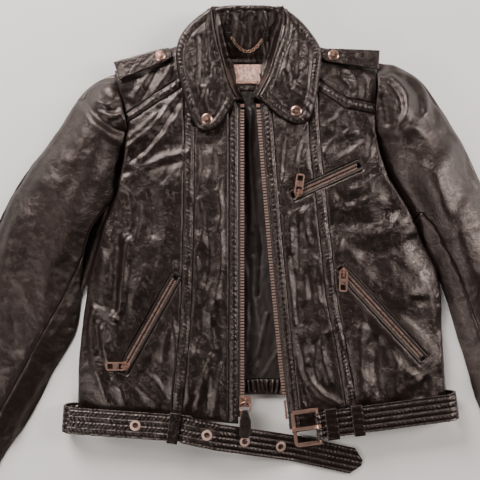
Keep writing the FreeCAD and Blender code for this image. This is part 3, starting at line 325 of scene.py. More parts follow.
def flat_area(loop):
    x, y = loop[:, 0], loop[:, 1]
    return 0.5 * float(np.sum(x * np.roll(y, -1) - y * np.roll(x, -1)))


def resample(loop, step, corner=28.0):
    """The loop with points about step apart and its corners kept."""
    ahead = np.roll(loop, -1, axis=0) - loop
    turn = np.degrees(np.arctan2(ahead[:, 1], ahead[:, 0]))
    change = np.abs((turn - np.roll(turn, 1) + 180) % 360 - 180)
    corners = [k for k in range(len(loop)) if change[k] > corner] or [0]
    out = []
    for k, first in enumerate(corners):
        last = corners[(k + 1) % len(corners)]
        count = (last - first) % len(loop) or len(loop)
        run = loop[[(first + j) % len(loop) for j in range(count + 1)]]
        length = np.concatenate([[0], np.cumsum(np.linalg.norm(np.diff(run, axis=0), axis=1))])
        pieces = max(1, round(length[-1] / step))
        spots = np.linspace(0, length[-1], pieces + 1)[:-1]
        out.append(np.stack([np.interp(spots, length, run[:, c]) for c in range(3)], axis=1))
    return np.vstack(out)


def inside(x, y, loops):
    """Even-odd test of points against closed outlines."""
    hit = np.zeros(len(x), bool)
    for loop in loops:
        for (ax, ay), (bx, by) in zip(loop[:, :2], np.roll(loop[:, :2], -1, axis=0)):
            if ay == by:
                continue
            cross = (ay > y) != (by > y)
            hit ^= cross & (x < (bx - ax) * (y - ay) / (by - ay) + ax)
    return hit


def to_line(x, y, line):
    """Distance of points to an open line of points."""
    best = np.full(len(x), 1e9)
    line = np.asarray(line, float)[:, :2]
    for (ax, ay), (bx, by) in zip(line, line[1:]):
        dx, dy = bx - ax, by - ay
        along = ((x - ax) * dx + (y - ay) * dy) / max(dx * dx + dy * dy, 1e-9)
        along = np.clip(along, 0, 1)
        best = np.minimum(best, np.hypot(ax + along * dx - x, ay + along * dy - y))
    return best


def to_loops(x, y, loops):
    return np.min([to_line(x, y, np.vstack([loop, loop[:1]])) for loop in loops], axis=0)


def smooth_step(value, low, high):
    share = np.clip((value - low) / (high - low), 0, 1)
    return share * share * (3 - 2 * share)


# ---------------------------------------------------------------- noise


def lattice(ix, iy, seed):
    """A repeatable angle for each whole-number place."""
    mixed = (ix * 374761393 + iy * 668265263 + seed * 1442695041) & 0x7FFFFFFF
    mixed = ((mixed ^ (mixed >> 13)) * 1274126177) & 0x7FFFFFFF
    return ((mixed ^ (mixed >> 16)) % 4096) * (2 * math.pi / 4096)


def noise(x, y, size, seed):
    """Smooth noise between about -1 and 1, with lumps of the given size in mm."""
    x, y = x / size, y / size
    ix, iy = np.floor(x).astype(np.int64), np.floor(y).astype(np.int64)
    fx, fy = x - ix, y - iy
    sx, sy = fx * fx * fx * (fx * (fx * 6 - 15) + 10), fy * fy * fy * (fy * (fy * 6 - 15) + 10)
    total = []
    for ox, oy in ((0, 0), (1, 0), (0, 1), (1, 1)):
        angle = lattice(ix + ox, iy + oy, seed)
        total.append(np.cos(angle) * (fx - ox) + np.sin(angle) * (fy - oy))
    low = total[0] + sx * (total[1] - total[0])
    high = total[2] + sx * (total[3] - total[2])
    return 1.5 * (low + sy * (high - low))


def creases(x, y, size, seed, sharp=2.0):
    """A web of soft ridges with valleys between them, about 0 to 1."""
    wx = x + 0.45 * size * noise(x, y, size * 1.3, seed + 7)
    wy = y + 0.45 * size * noise(x, y, size * 1.3, seed + 9)
    return (1 - np.minimum(np.abs(noise(wx, wy, size, seed)) * 1.6, 1.0)) ** sharp


def folds(x, y, lines):
    """Folds from a list: (line, width, height) each, a rounded ridge or a valley."""
    total = np.zeros(len(x))
    for line, width, height in lines:
        points = np.asarray(line, float)
        reach = 3 * width
        near = ((x > points[:, 0].min() - reach) & (x < points[:, 0].max() + reach)
                & (y > points[:, 1].min() - reach) & (y < points[:, 1].max() + reach))
        if not near.any():
            continue
        px, py = x[near], y[near]
        wobble = 0.3 * width * noise(px, py, 3.2 * width, 31)
        off = to_line(px + wobble, py - wobble, smooth_line(points))
        total[near] += height * np.exp(-(off / width) ** 2)
    return total


def smooth_line(points, rounds=2):
    """Chaikin corner cutting."""
    line = np.asarray(points, float)
    for _ in range(rounds):
        first = 0.75 * line[:-1] + 0.25 * line[1:]
        second = 0.25 * line[:-1] + 0.75 * line[1:]
        line = np.vstack([line[:1], np.stack([first, second], axis=1).reshape(-1, line.shape[1]),
                          line[-1:]])
    return line


# ---------------------------------------------------------------- making pieces

materials = make_materials()


def add_object(name, points, faces, finish, body="jacket"):
    """A piece from points in mm."""
    mesh = bpy.data.meshes.new(name)
    mesh.from_pydata([tuple(p * MM) for p in np.asarray(points, float)], [], faces)
    mesh.validate()
    mesh.update()
    item = bpy.data.objects.new(name, mesh)
    bpy.context.scene.collection.objects.link(item)
    mesh.materials.append(materials[finish])
    for polygon in mesh.polygons:
        polygon.use_smooth = True
    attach(item, body)
    return item


def solid_sheet(item, thick, offset=-1.0):
    layer = item.modifiers.new("thickness", "SOLIDIFY")
    layer.thickness = thick * MM
    layer.offset = offset
    layer.use_even_offset = False


def bevel(node, finish, width, segments):
    """A CAD node kept as it is, with rounded edges and its finish."""
    item = bpy.data.objects[node]
    if width:
        edge = item.modifiers.new("round", "BEVEL")
        edge.width, edge.segments = width * MM, segments
        edge.limit_method, edge.angle_limit = "ANGLE", math.radians(35)
        edge.harden_normals = False
    item.data.materials.clear()
    item.data.materials.append(materials[finish])


def fill(loops, step):
    """Points in plan and triangles that fill the outlines; the outline's points come first."""
    rim = np.vstack(loops)
    lo, hi = rim[:, :2].min(axis=0), rim[:, :2].max(axis=0)
    rise = step * math.sqrt(3) / 2
    rows = []
    for k in range(int((hi[1] - lo[1]) / rise) + 2):
        xs = np.arange(lo[0] + (k % 2) * step / 2, hi[0] + step, step)
        rows.append(np.stack([xs, np.full(len(xs), lo[1] + k * rise)], axis=1))
    grid = np.vstack(rows)
    grid = grid[inside(grid[:, 0], grid[:, 1], loops)]
    grid = grid[to_loops(grid[:, 0], grid[:, 1], loops) > 0.6 * step]
    plan = np.vstack([rim[:, :2], grid])
    edges, first = [], 0
    for loop in loops:
        count = len(loop)
        edges += [(first + k, first + (k + 1) % count) for k in range(count)]
        first += count
    made = delaunay_2d_cdt([Vector(p) for p in plan], edges, [], 0, 1e-5)
    spots, triangles = np.array([tuple(p) for p in made[0]]), made[2]
    corners = np.array(triangles)
    middle = spots[corners].mean(axis=1)
    keep = inside(middle[:, 0], middle[:, 1], loops)
    a, b, c = (spots[corners[:, k]] for k in range(3))
    area = (b[:, 0] - a[:, 0]) * (c[:, 1] - a[:, 1]) - (b[:, 1] - a[:, 1]) * (c[:, 0] - a[:, 0])
    faces = []
    for triangle, good, signed in zip(triangles, keep, area):
        if good and abs(signed) > 1e-6:
            faces.append(list(triangle) if signed > 0 else list(triangle)[::-1])
    used = sorted({k for face in faces for k in face})
    number = {old: new for new, old in enumerate(used)}
    return spots[used], [[number[k] for k in face] for face in faces]


def neighbours(count, faces):
    pairs = np.array([(a, b) for face in faces for a, b in zip(face, face[1:] + face[:1])])
    pairs = np.unique(np.sort(pairs, axis=1), axis=0)
    return np.vstack([pairs, pairs[:, ::-1]])


def relax(values, faces, fixed, rounds):
    """Evens out values over the mesh, except where they are fixed."""
    pairs = neighbours(len(values), faces)
    count = np.bincount(pairs[:, 0], minlength=len(values)).astype(float)
    for _ in range(rounds):
        total = np.bincount(pairs[:, 0], weights=values[pairs[:, 1]], minlength=len(values))
        values = np.where(fixed, values, total / np.maximum(count, 1))
    return values


trees = {}


def heights(node, x, y, fallback):
    """The highest face of a CAD node at each place, in mm."""
    if node not in trees:
        points, faces = cad(node)
        trees[node] = BVHTree.FromPolygons([Vector(p) for p in points], faces)
    out = np.array(fallback, float)
    for k in range(len(x)):
        hit = trees[node].ray_cast(Vector((x[k], y[k], ABOVE)), DOWN)[0]
        if hit is not None:
            out[k] = hit.z
    return out


def rim_heights(x, y, loops):
    """The outline's own height at the outline point nearest to each place."""
    rim = np.vstack(loops)
    out = np.empty(len(x))
    for start in range(0, len(x), 4000):
        part = slice(start, start + 4000)
        gap = np.hypot(x[part, None] - rim[None, :, 0], y[part, None] - rim[None, :, 1])
        out[part] = rim[np.argmin(gap, axis=1), 2]
    return out


def box_mm(node):
    return [np.array(corner) * 1000 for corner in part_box(node)]


class Plan:
    """A sheet over outlines: its places in plan, edge distance, faces, and heights in mm."""

    def __init__(self, loops, step, height=None):
        self.loops = [resample(loop, step) for loop in loops]
        plan, self.faces = fill(self.loops, step)
        self.x, self.y = plan[:, 0], plan[:, 1]
        self.edge = to_loops(self.x, self.y, self.loops)
        if height:
            self.z = height(self.x, self.y)

    def area(self):
        """The sheet's own area in square metres, which is the area of its cut."""
        points, corners = self.points(), np.array(self.faces)
        a, b, c = (points[corners[:, k]] for k in range(3))
        return float(np.linalg.norm(np.cross(b - a, c - a), axis=1).sum()) * 0.5e-6

    def points(self):
        return np.stack([self.x, self.y, self.z], axis=1)

    def size(self):
        """Width and length of the cut, in metres."""
        rim = np.vstack(self.loops)[:, :2]
        mid = rim - rim.mean(axis=0)
        _, _, axes = np.linalg.svd(mid, full_matrices=False)
        spread = mid @ axes.T
        length, width = np.ptp(spread, axis=0) * MM
        area = self.area()
        if area < 0.45 * length * width or area > length * width:
            width = max(area / (0.95 * length), 0.0101)
        return (float(width), float(length)), area


class Sheet(Plan):
    """A cloth or leather piece with its heights read from a CAD node's upper faces."""

    def __init__(self, node, loops, step, even):
        super().__init__(loops, step)
        rim = rim_heights(self.x, self.y, self.loops)
        fixed = self.edge < 0.05
        inner = heights(node, self.x, self.y, rim)
        self.z = relax(np.where(fixed, rim, inner), self.faces, fixed, even)


def declare(sheet):
    (width, length), area = sheet.size()


def outer_loops(node, **options):
    """Groups of outlines: each outside outline with the holes in it."""
    loops = outlines(node, **options)
    outside = [loop for loop in loops if flat_area(loop) > 0]
    holes = [loop for loop in loops if flat_area(loop) < 0]
    outside.sort(key=lambda loop: (loop[:, 0].mean(), loop[:, 1].mean()))
    groups = [[loop] for loop in outside]
    for hole in holes:
        for group in groups:
            if inside(hole[:1, 0], hole[:1, 1], group[:1])[0]:
                group.append(hole)
                break
    return groups


# ---------------------------------------------------------------- the lie of the leather, mm

ARMHOLE_L = [(-168, 246), (-153, 188), (-150, 172), (-155, 130), (-162, 98), (-168, 78)]
ARMHOLE_R = [(177, 262), (175, 204), (175, 169), (180, 137), (190, 108), (216, 67), (240, 17)]

FRONT_FOLDS = [
    # left front, under the yoke: drags from the armhole up towards the collar
    ([(-150, 143), (-116, 171), (-86, 213)], 4.5, 3.6),
    ([(-146, 128), (-118, 148), (-92, 190)], 3.2, -3.0),
    ([(-132, 132), (-100, 160), (-80, 196)], 5.5, 3.2),
    ([(-148, 158), (-128, 172), (-112, 190)], 3.0, 2.2),
    ([(-160, 99), (-116, 127), (-78, 137)], 6.0, 3.0),
    ([(-150, 112), (-120, 118), (-84, 126)], 4.5, -1.8),
    ([(-159, 99), (-143, 90), (-132, 58), (-142, 22)], 4.0, 3.4),
    ([(-150, 84), (-146, 50), (-152, 30)], 4.0, -2.6),
    ([(-122, 86), (-116, 60), (-118, 30)], 5.0, -2.2),
    ([(-104, 90), (-98, 50), (-104, 6)], 7.0, 2.2),
    # the deep fold down the left side and its hook
    ([(-164, 30), (-167, -16), (-169, -66)], 6.5, -7.0),
    ([(-150, 26), (-156, -16), (-160, -66), (-167, -79)], 4.5, 5.0),
    ([(-167, -79), (-180, -70), (-194, -66)], 4.0, 4.2),
    ([(-196, -66), (-202, -95), (-196, -135), (-178, -183)], 4.6, 3.6),
    ([(-186, -93), (-176, -133), (-159, -167), (-154, -186)], 4.2, 3.2),
    ([(-192, -86), (-188, -120), (-172, -160)], 3.6, -2.6),
    ([(-176, -92), (-166, -120), (-160, -134)], 3.4, -2.2),
    ([(-182, 2), (-188, -26), (-186, -52)], 6.5, 2.6),
    # round the left pocket
    ([(-104, -60), (-98, -92), (-104, -130)], 4.0, 2.4),
    ([(-92, -80), (-86, -116), (-91, -174)], 3.4, 3.0),
    ([(-112, -96), (-120, -124), (-138, -150)], 3.6, 2.0),
    ([(-130, -152), (-112, -160), (-98, -184)], 5.0, -2.2),
    ([(-150, -150), (-128, -176), (-112, -190)], 4.2, 2.2),
    ([(-128, -12), (-134, -34), (-144, -58)], 4.5, 2.2),
    ([(-112, 0), (-118, -20), (-124, -36)], 3.5, -1.8),
    # left centre panel: long crumples down the zip
    ([(-40, 138), (-36, 122), (-42, 104)], 7.5, 3.0),
    ([(-28, 150), (-24, 120), (-30, 92)], 3.4, 2.0),
    ([(-54, 150), (-50, 118), (-56, 84)], 4.0, -2.2),
    ([(-58, 74), (-50, 46), (-60, 10)], 5.0, 2.8),
    ([(-32, 88), (-26, 60), (-34, 36)], 3.4, 2.4),
    ([(-28, 34), (-26, -6), (-36, -54)], 3.4, 3.2),
    ([(-44, 30), (-40, -4), (-48, -34)], 4.0, -2.6),
    ([(-62, 2), (-58, -30), (-64, -70)], 4.5, 2.6),
    ([(-34, -52), (-44, -86), (-36, -118)], 4.0, 2.6),
    ([(-52, -66), (-54, -96), (-60, -120)], 3.8, -2.4),
    ([(-40, -128), (-54, -168), (-58, -192)], 4.0, 3.2),
    ([(-26, -140), (-34, -180), (-37, -205)], 3.4, 3.0),
    ([(-46, -136), (-44, -168), (-47, -198)], 3.2, -2.8),
    ([(-68, -120), (-70, -150), (-70, -186)], 3.4, 2.0),
    # right centre panel
    ([(46, 150), (50, 120), (46, 92)], 4.0, 2.4),
    ([(76, 154), (67, 126), (64, 96)], 4.6, 3.0),
    ([(60, 158), (56, 130), (54, 104)], 3.4, -2.2),
    ([(84, 150), (82, 128), (86, 112)], 3.6, 2.0),
    ([(45, 90), (49, 60), (46, 30)], 3.8, 3.0),
    ([(66, 66), (60, 40), (64, 8)], 4.6, 2.8),
    ([(84, 72), (80, 46), (86, 20)], 4.4, 2.4),
    ([(74, 40), (72, 14), (76, -12)], 3.6, -2.4),
    ([(56, 10), (60, -30), (64, -84)], 3.8, 3.2),
    ([(84, 6), (80, -24), (84, -54)], 5.5, 2.8),
    ([(70, -20), (70, -50), (74, -84)], 4.0, -3.0),
    ([(98, -2), (96, -30), (100, -56)], 4.2, 2.2),
    ([(84, -92), (79, -116), (82, -134)], 5.0, 2.8),
    ([(116, -92), (101, -106), (108, -144), (115, -162)], 4.6, 3.4),
    ([(96, -112), (92, -136), (98, -160)], 3.8, -2.6),
    ([(70, -100), (80, -146), (98, -174), (124, -190)], 4.2, 3.2),
    ([(70, -128), (76, -160), (84, -186)], 4.2, -2.4),
    # right side panel
    ([(108, 138), (124, 158), (146, 166)], 5.0, 3.0),
    ([(112, 172), (128, 182), (142, 200)], 6.0, 2.2),
    ([(126, 128), (146, 140), (160, 152)], 4.5, 2.6),
    ([(150, 112), (166, 132), (170, 158)], 5.0, -2.6),
    ([(134, 96), (144, 88), (158, 92)], 3.0, 2.2),
    ([(122, 88), (130, 76), (142, 74)], 3.0, -1.8),
    ([(128, 66), (150, 64), (176, 78)], 9.0, 3.2),
    ([(136, 44), (160, 46), (196, 60)], 6.5, -3.0),
    ([(150, 26), (180, 34), (206, 46)], 9.0, 2.4),
    ([(160, 6), (190, 10), (222, 26)], 7.0, -2.0),
    ([(128, 26), (124, 6), (126, -6)], 3.4, 2.0),
    ([(156, -92), (153, -130), (157, -176)], 7.5, 4.2),
    ([(177, -104), (175, -140), (180, -176)], 6.5, -4.0),
    ([(136, -96), (138, -128), (142, -160)], 4.0, -2.6),
    ([(196, -124), (203, -142), (198, -168)], 5.0, 2.6),
    ([(221, -152), (246, -136)], 4.0, 3.0),
    ([(198, -178), (222, -164), (240, -152)], 5.0, 2.4),
    ([(262, -100), (263, -140), (264, -176)], 4.0, 3.2),
    ([(246, -128), (242, -156), (238, -182)], 6.0, -4.0),
    ([(246, -40), (252, -66), (254, -94)], 5.0, 2.0),
    ([(196, -60), (214, -48), (236, -46)], 8.0, 2.0),
    ([(160, -50), (156, -66), (160, -80)], 3.6, 2.0),
    # shoulder yokes
    ([(-142, 210), (-132, 226), (-124, 240)], 3.8, 3.0),
    ([(-134, 204), (-122, 224), (-112, 244)], 2.8, -2.4),
    ([(-116, 214), (-104, 232), (-94, 250)], 4.0, 2.2),
    ([(-84, 232), (-78, 250), (-72, 264)], 4.6, 2.0),
    ([(108, 232), (122, 226), (132, 212)], 3.4, 2.2),
    ([(128, 240), (138, 228), (142, 214)], 3.6, -2.4),
    ([(140, 244), (150, 232), (150, 214)], 4.4, 2.4),
    ([(156, 242), (162, 230), (160, 212)], 3.4, -1.8),
]

SLEEVE_FOLDS = [
    # left head: gathers and the sweep under the puff
    ([(-214, 219), (-196, 190), (-170, 168), (-154, 166)], 6.0, -6.5),
    ([(-206, 198), (-184, 170), (-158, 150)], 7.0, 3.4),
    ([(-190, 204), (-174, 196), (-157, 206)], 3.2, 3.2),
    ([(-184, 194), (-170, 188), (-155, 196)], 2.8, -2.6),
    ([(-178, 188), (-168, 182), (-154, 186)], 3.0, 3.2),
    ([(-170, 176), (-160, 178), (-153, 184)], 2.6, -2.2),
    ([(-174, 226), (-168, 218), (-160, 214)], 3.2, 2.6),
    ([(-180, 216), (-170, 208), (-159, 206)], 2.6, -2.2),
    ([(-200, 226), (-190, 216), (-182, 204)], 7.0, 2.4),
    # left sleeve: long soft rolls
    ([(-222, 208), (-248, 150), (-276, 92), (-320, 8)], 17.0, 3.6),
    ([(-200, 140), (-226, 90), (-262, 30), (-300, -30)], 12.0, -2.6),
    ([(-176, 118), (-200, 70), (-232, 14), (-262, -42)], 9.0, 2.0),
    ([(-300, 10), (-330, -60), (-366, -140)], 14.0, 2.4),
    ([(-262, -46), (-300, -110), (-340, -190)], 12.0, -2.0),
    ([(-218, -4), (-246, -62), (-280, -120)], 7.0, 1.6),
    ([(-300, -20), (-282, -40), (-268, -70)], 9.0, 1.6),
    # strip inside the sleeve seam
    ([(-176, 46), (-204, -16), (-228, -66)], 4.0, 1.8),
    ([(-230, -64), (-236, -84), (-252, -104)], 3.0, 2.6),
    ([(-226, -76), (-230, -92)], 3.0, -2.2),
    ([(-262, -150), (-284, -190), (-312, -236)], 4.5, 2.2),
    ([(-300, -224), (-310, -250)], 3.6, 2.4),
    # right head
    ([(194, 238), (210, 220), (214, 190), (198, 170)], 5.0, 4.6),
    ([(190, 226), (202, 212), (204, 196)], 3.4, -3.4),
    ([(186, 214), (196, 206), (198, 190)], 3.0, 3.0),
    ([(181, 208), (187, 192), (190, 176)], 4.0, -4.0),
    ([(216, 232), (230, 212), (228, 190)], 5.0, -4.0),
    ([(226, 244), (243, 218), (240, 190)], 6.0, 3.8),
    ([(248, 222), (254, 200), (250, 176)], 6.0, -2.4),
    ([(184, 244), (196, 248), (212, 242)], 3.6, 2.4),
    ([(180, 168), (200, 160), (222, 168)], 6.0, 2.6),
    ([(186, 154), (206, 146), (228, 152)], 6.0, -2.2),
    # right sleeve
    ([(282, 158), (262, 120), (250, 92)], 14.0, 3.4),
    ([(296, 120), (278, 84), (268, 52)], 11.0, -2.4),
    ([(214, 128), (222, 92), (242, 60), (262, 18)], 9.0, -3.0),
    ([(240, 112), (254, 74), (280, 20), (300, -40)], 13.0, 3.0),
    ([(306, 60), (330, 0), (352, -60)], 13.0, 2.4),
    ([(262, -6), (280, -56), (300, -110)], 6.5, 2.0),
    ([(300, -40), (322, -100), (350, -170)], 11.0, -2.0),
    ([(268, 30), (284, 40), (310, 46)], 9.0, 1.8),
]

LINING_FOLDS = [
    ([(12, 197), (9, 137), (15, 67), (12, 36)], 3.0, 3.2),
    ([(3, 170), (2, 110), (5, 60)], 2.6, -2.0),
    ([(15, 2), (13, -60), (27, -115), (10, -140)], 2.6, 2.6),
    ([(33, -75), (24, -110), (15, -154)], 2.4, 2.8),
    ([(46, -126), (32, -150), (26, -158)], 2.2, 2.0),
    ([(22, 40), (24, -10), (20, -50)], 2.6, -2.2),
    ([(6, -20), (8, -70), (4, -120)], 2.2, 1.8),
]


# what is sewn or laid on the front: it stays flat within the first distance, free past the second
QUIET_REACH = {"pocket_welts": (8.0, 20.0), "plackets": (2.0, 12.0), "snap_studs": (2.0, 12.0)}
quiet_loops = [(group, *reach) for node, reach in QUIET_REACH.items()
               for group in outer_loops(node)]


def calm(x, y):
    """0 where something sewn or laid on keeps the front flat, 1 where it is free."""
    free = np.ones(len(x))
    for loops, low, high in quiet_loops:
        mask = inside(x, y, loops)
        off = np.where(mask, 0.0, to_loops(x, y, loops))
        free = np.minimum(free, smooth_step(off, low, high))
    return free


def front_relief(x, y):
    """How far the front leather stands above or below its CAD face, mm."""
    free = calm(x, y)
    total = 0.85 * folds(x, y, FRONT_FOLDS)
    bend_x = x + 9.0 * noise(x, y, 60.0, 13)
    total += 4.2 * noise(bend_x, 0.8 * y, 50.0, 3) + 0.9 * noise(bend_x, 0.9 * y, 21.0, 5)
    total += 0.6 * (creases(bend_x, 0.8 * y, 34.0, 11, 2.2) - 0.35)
    total += 0.28 * noise(x, y, 9.5, 19) + 0.3 * (creases(x, 0.9 * y, 14.0, 17, 3.0) - 0.3)
    total += 0.10 * noise(x, y, 4.5, 29)
    total = 7.0 * np.tanh(total / 7.0) * (0.16 + 0.84 * free)
    return np.where(total > 0, total * smooth_step(y, -206.0, -184.0), total)


def sleeve_relief(x, y):
    total = folds(x, y, SLEEVE_FOLDS)
    total += 1.5 * noise(x, y, 52.0, 41) + 0.7 * noise(x, y, 24.0, 43)
    total += 0.55 * creases(x, y, 17.0, 47) + 0.22 * creases(x, y, 7.0, 53)
    for line, low in ((ARMHOLE_L, 150.0), (ARMHOLE_R, 160.0)):
        off = to_line(x, y, line)
        share = np.exp(-off / 13.0) * smooth_step(y, low, low + 30)
        total += 1.7 * share * np.sin(2 * math.pi * (y + 0.6 * noise(x, y, 18.0, 59) * 9) / 10.5)
    return total


def edge_round(sheet, depth=0.9, reach=1.3):
    """Turned edges: the top face rolls down at the outline."""
    sheet.z = sheet.z - depth * np.exp(-sheet.edge / reach)


def pucker(x, y, angle, pitch, seed):
    """Slanting puckers between two rows of stitches."""
    turn = math.radians(angle)
    along = x * math.cos(turn) + y * math.sin(turn)
    along = along + 1.2 * noise(x, y, 14.0, seed)
    wave = np.abs(np.sin(math.pi * along / pitch)) ** 0.7
    return wave * (0.65 + 0.5 * noise(x, y, 17.0, seed + 3))


def drop_skirt(points, faces, limit, steps):
    """Carries the leather on round a side edge that lies below limit: out, down and under."""
    points, faces = [tuple(p) for p in points], list(faces)
    edges = {}
    for face in faces:
        for a, b in zip(face, face[1:] + face[:1]):
            edges[(a, b)] = edges.get((a, b), 0) + 1
    rim = [(a, b) for (a, b) in edges if (b, a) not in edges]
    low = {k for a, b in rim for k in (a, b) if points[k][2] < limit}
    outward = {}
    for a, b in rim:
        if a in low and b in low:
            dx, dy = points[b][0] - points[a][0], points[b][1] - points[a][1]
            size = math.hypot(dx, dy) or 1.0
            for k in (a, b):
                ox, oy = outward.get(k, (0.0, 0.0))
                outward[k] = (ox + dy / size, oy - dx / size)
    copies = {}
    for k, (ox, oy) in outward.items():
        size = math.hypot(ox, oy) or 1.0
        chain = [k]
        for out, down in steps:
            x, y, z = points[k]
            points.append((x + ox / size * out, y + oy / size * out, max(z - down, 0.4)))
            chain.append(len(points) - 1)
        copies[k] = chain
    for a, b in rim:
        if a in copies and b in copies:
            for k in range(len(steps)):
                faces.append([copies[a][k], copies[a][k + 1], copies[b][k + 1], copies[b][k]])
    return np.array(points), faces


# ---------------------------------------------------------------- stitches

stitch_sets = {}


def surface_of(item):
    """A search tree of a piece's finished mesh, in mm."""
    depsgraph = bpy.context.evaluated_depsgraph_get()
    shape = item.evaluated_get(depsgraph)
    mesh = shape.to_mesh()
    points = [v.co * 1000 for v in mesh.vertices]
    faces = [list(p.vertices) for p in mesh.polygons]
    shape.to_mesh_clear()
    return BVHTree.FromPolygons(points, faces)


def inset(loop, distance):
    """The outline moved inwards."""
    after, before = np.roll(loop, -1, axis=0), np.roll(loop, 1, axis=0)
    way = after[:, :2] - before[:, :2]
    way /= np.maximum(np.linalg.norm(way, axis=1, keepdims=True), 1e-9)
    return loop[:, :2] + distance * np.stack([-way[:, 1], way[:, 0]], axis=1)


def stitch_row(name, tree, line, pitch=3.0, length=2.1, width=0.62, rise=0.28, keep=None,
               finish="thread", body="jacket"):
    """Rounded stitches in a row down a line in plan, lying on a surface."""
    line = np.asarray(line, float)[:, :2]
    run = np.concatenate([[0], np.cumsum(np.linalg.norm(np.diff(line, axis=0), axis=1))])
    if run[-1] < pitch:
        return
    spots = np.arange(pitch / 2, run[-1], pitch)
    points, faces = stitch_sets.setdefault((name, finish, body), ([], []))

    def on(s):
        x, y = np.interp(s, run, line[:, 0]), np.interp(s, run, line[:, 1])
        if keep and not keep(x, y):
            return None
        return tree.ray_cast(Vector((x, y, ABOVE)), DOWN)[0]

    for s in spots:
        head, tail = on(s - length / 2), on(s + length / 2)
        if head is None or tail is None or abs(head.z - tail.z) > 2.5:
            continue
        way = tail - head
        if way.length < 0.5 * length:
            continue
        way.normalize()
        side = way.cross(Vector((0, 0, 1))).normalized()
        up = side.cross(way).normalized()
        first = len(points)
        for share, fat, lift in ((0.0, 0.35, -0.15), (0.18, 0.9, 0.75), (0.5, 1.0, 1.0),
                                 (0.82, 0.9, 0.75), (1.0, 0.35, -0.15)):
            spot = head.lerp(tail, share)
            for angle in (20, 90, 160, 270):
                turn = math.radians(angle)
                points.append(tuple(spot + side * (math.cos(turn) * width / 2 * fat)
                                    + up * (math.sin(turn) * rise * lift + 0.02)))
        for ring in range(4):
            for k in range(4):
                a, b = first + ring * 4 + k, first + ring * 4 + (k + 1) % 4
                faces.append([a, b, b + 4, a + 4])
        faces.append([first + k for k in (3, 2, 1, 0)])
        faces.append([first + 16 + k for k in range(4)])


def make_stitches():
    for (name, finish, body), (points, faces) in stitch_sets.items():
        if faces:
            add_object(name, np.array(points), faces, finish, body)


def rim_rows(label, item, loops, offsets, body="jacket", **options):
    """Rows of stitches inside outlines."""
    tree = surface_of(item)
    for loop in loops:
        for offset in offsets:
            line = inset(loop, offset)
            stitch_row("stitching_" + label, tree, np.vstack([line, line[:1]]), body=body,
                       **options)


# ---------------------------------------------------------------- torso

STEP = 2.6  # mm between the mesh points of a sheet, if nothing finer is asked
HEM_STITCHES = -212  # seam stitches stop above the belt, mm
# the side edges: the height they lie below, and (out, down) steps of the leather round them
SIDE_SKIRT = (13.6, ((1.2, 1.6), (1.6, 3.6), (0.6, 6.0), (-2.0, 7.0)))
SLEEVE_SKIRT = (4.6, ((0.8, 0.9), (0.9, 2.0)))


def flat_relief(x, y):
    return np.zeros(len(x))


def sheet_piece(name, node, group, relief, finish, thick, step=STEP, body="jacket",
                skirt=None, even=12, held="laid", rests=(), round_depth=0.9, extra=None):
    """One sheet of leather or cloth over a CAD solid's upper face."""
    sheet = Sheet(node, group, step, even)
    sheet.z = sheet.z + relief(sheet.x, sheet.y)
    if extra:
        sheet.z = sheet.z + extra(sheet)
    if round_depth:
        edge_round(sheet, round_depth)
    points, faces = sheet.points(), sheet.faces
    if skirt:
        points, faces = drop_skirt(points, faces, *skirt)
    item = add_object(name, points, faces, finish, body)
    solid_sheet(item, thick)
    declare(sheet)
    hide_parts(node)
    return item, sheet


def cover(node, name, relief=flat_relief, finish="leather", thick=1.6, rows=(), stitches=None,
          wanted=None, **options):
    """A sheet over each part of a CAD node, with rows of stitches at these insets."""
    for k, group in enumerate(outer_loops(node, wanted=wanted)):
        label = name.format(k) if "{}" in name else name + (f"_{k}" if k else "")
        item, sheet = sheet_piece(label, node, group, relief, finish, thick, **options)
        if rows:
            rim_rows(node, item, sheet.loops, rows, body=options.get("body", "jacket"),
                     **(stitches or {}))


def seam_groove(sheet):
    return -0.35 * np.exp(-(sheet.edge / 1.6) ** 2)


def make_torso():
    for side in "LR":
        for part in ("front_side_panel", "front_centre_panel", "shoulder_yoke"):
            node = f"{part}_{side}"
            cover(node, "leather_" + node, front_relief, thick=1.5,
                  skirt=None if part == "front_centre_panel" else SIDE_SKIRT,
                  rests=["front_linings"], extra=seam_groove, round_depth=0.5, rows=(2.4,),
                  stitches={"keep": lambda x, y: y > HEM_STITCHES})


def band_pieces(node, label, angles, pitch, depth):
    """Narrow strips sewn down along both sides, puckered between the rows."""
    for k, group in enumerate(outer_loops(node)):
        angle = angles[0] if group[0][:, 0].mean() < 10 else angles[1]

        def puckers(sheet, angle=angle, k=k):
            share = smooth_step(sheet.edge, 1.9, 4.4)
            groove = -0.5 * np.exp(-((sheet.edge - 2.2) / 0.7) ** 2)
            return depth * share * pucker(sheet.x, sheet.y, angle, pitch, 60 + k) + groove

        item, sheet = sheet_piece(f"leather_{label}_{k}", node, group, front_relief, "leather",
                                  1.6, step=1.5, extra=puckers, rests=["front_linings"], even=4)
        rim_rows(label, item, sheet.loops, (2.2,), pitch=2.9)


def make_bands():
    band_pieces("princess_bands", "princess_band", (62, 118), 4.6, 1.5)
    band_pieces("yoke_bands", "yoke_band", (8, 160), 6.0, 1.8)
    band_pieces("plackets", "placket", (68, 112), 6.4, 1.3)


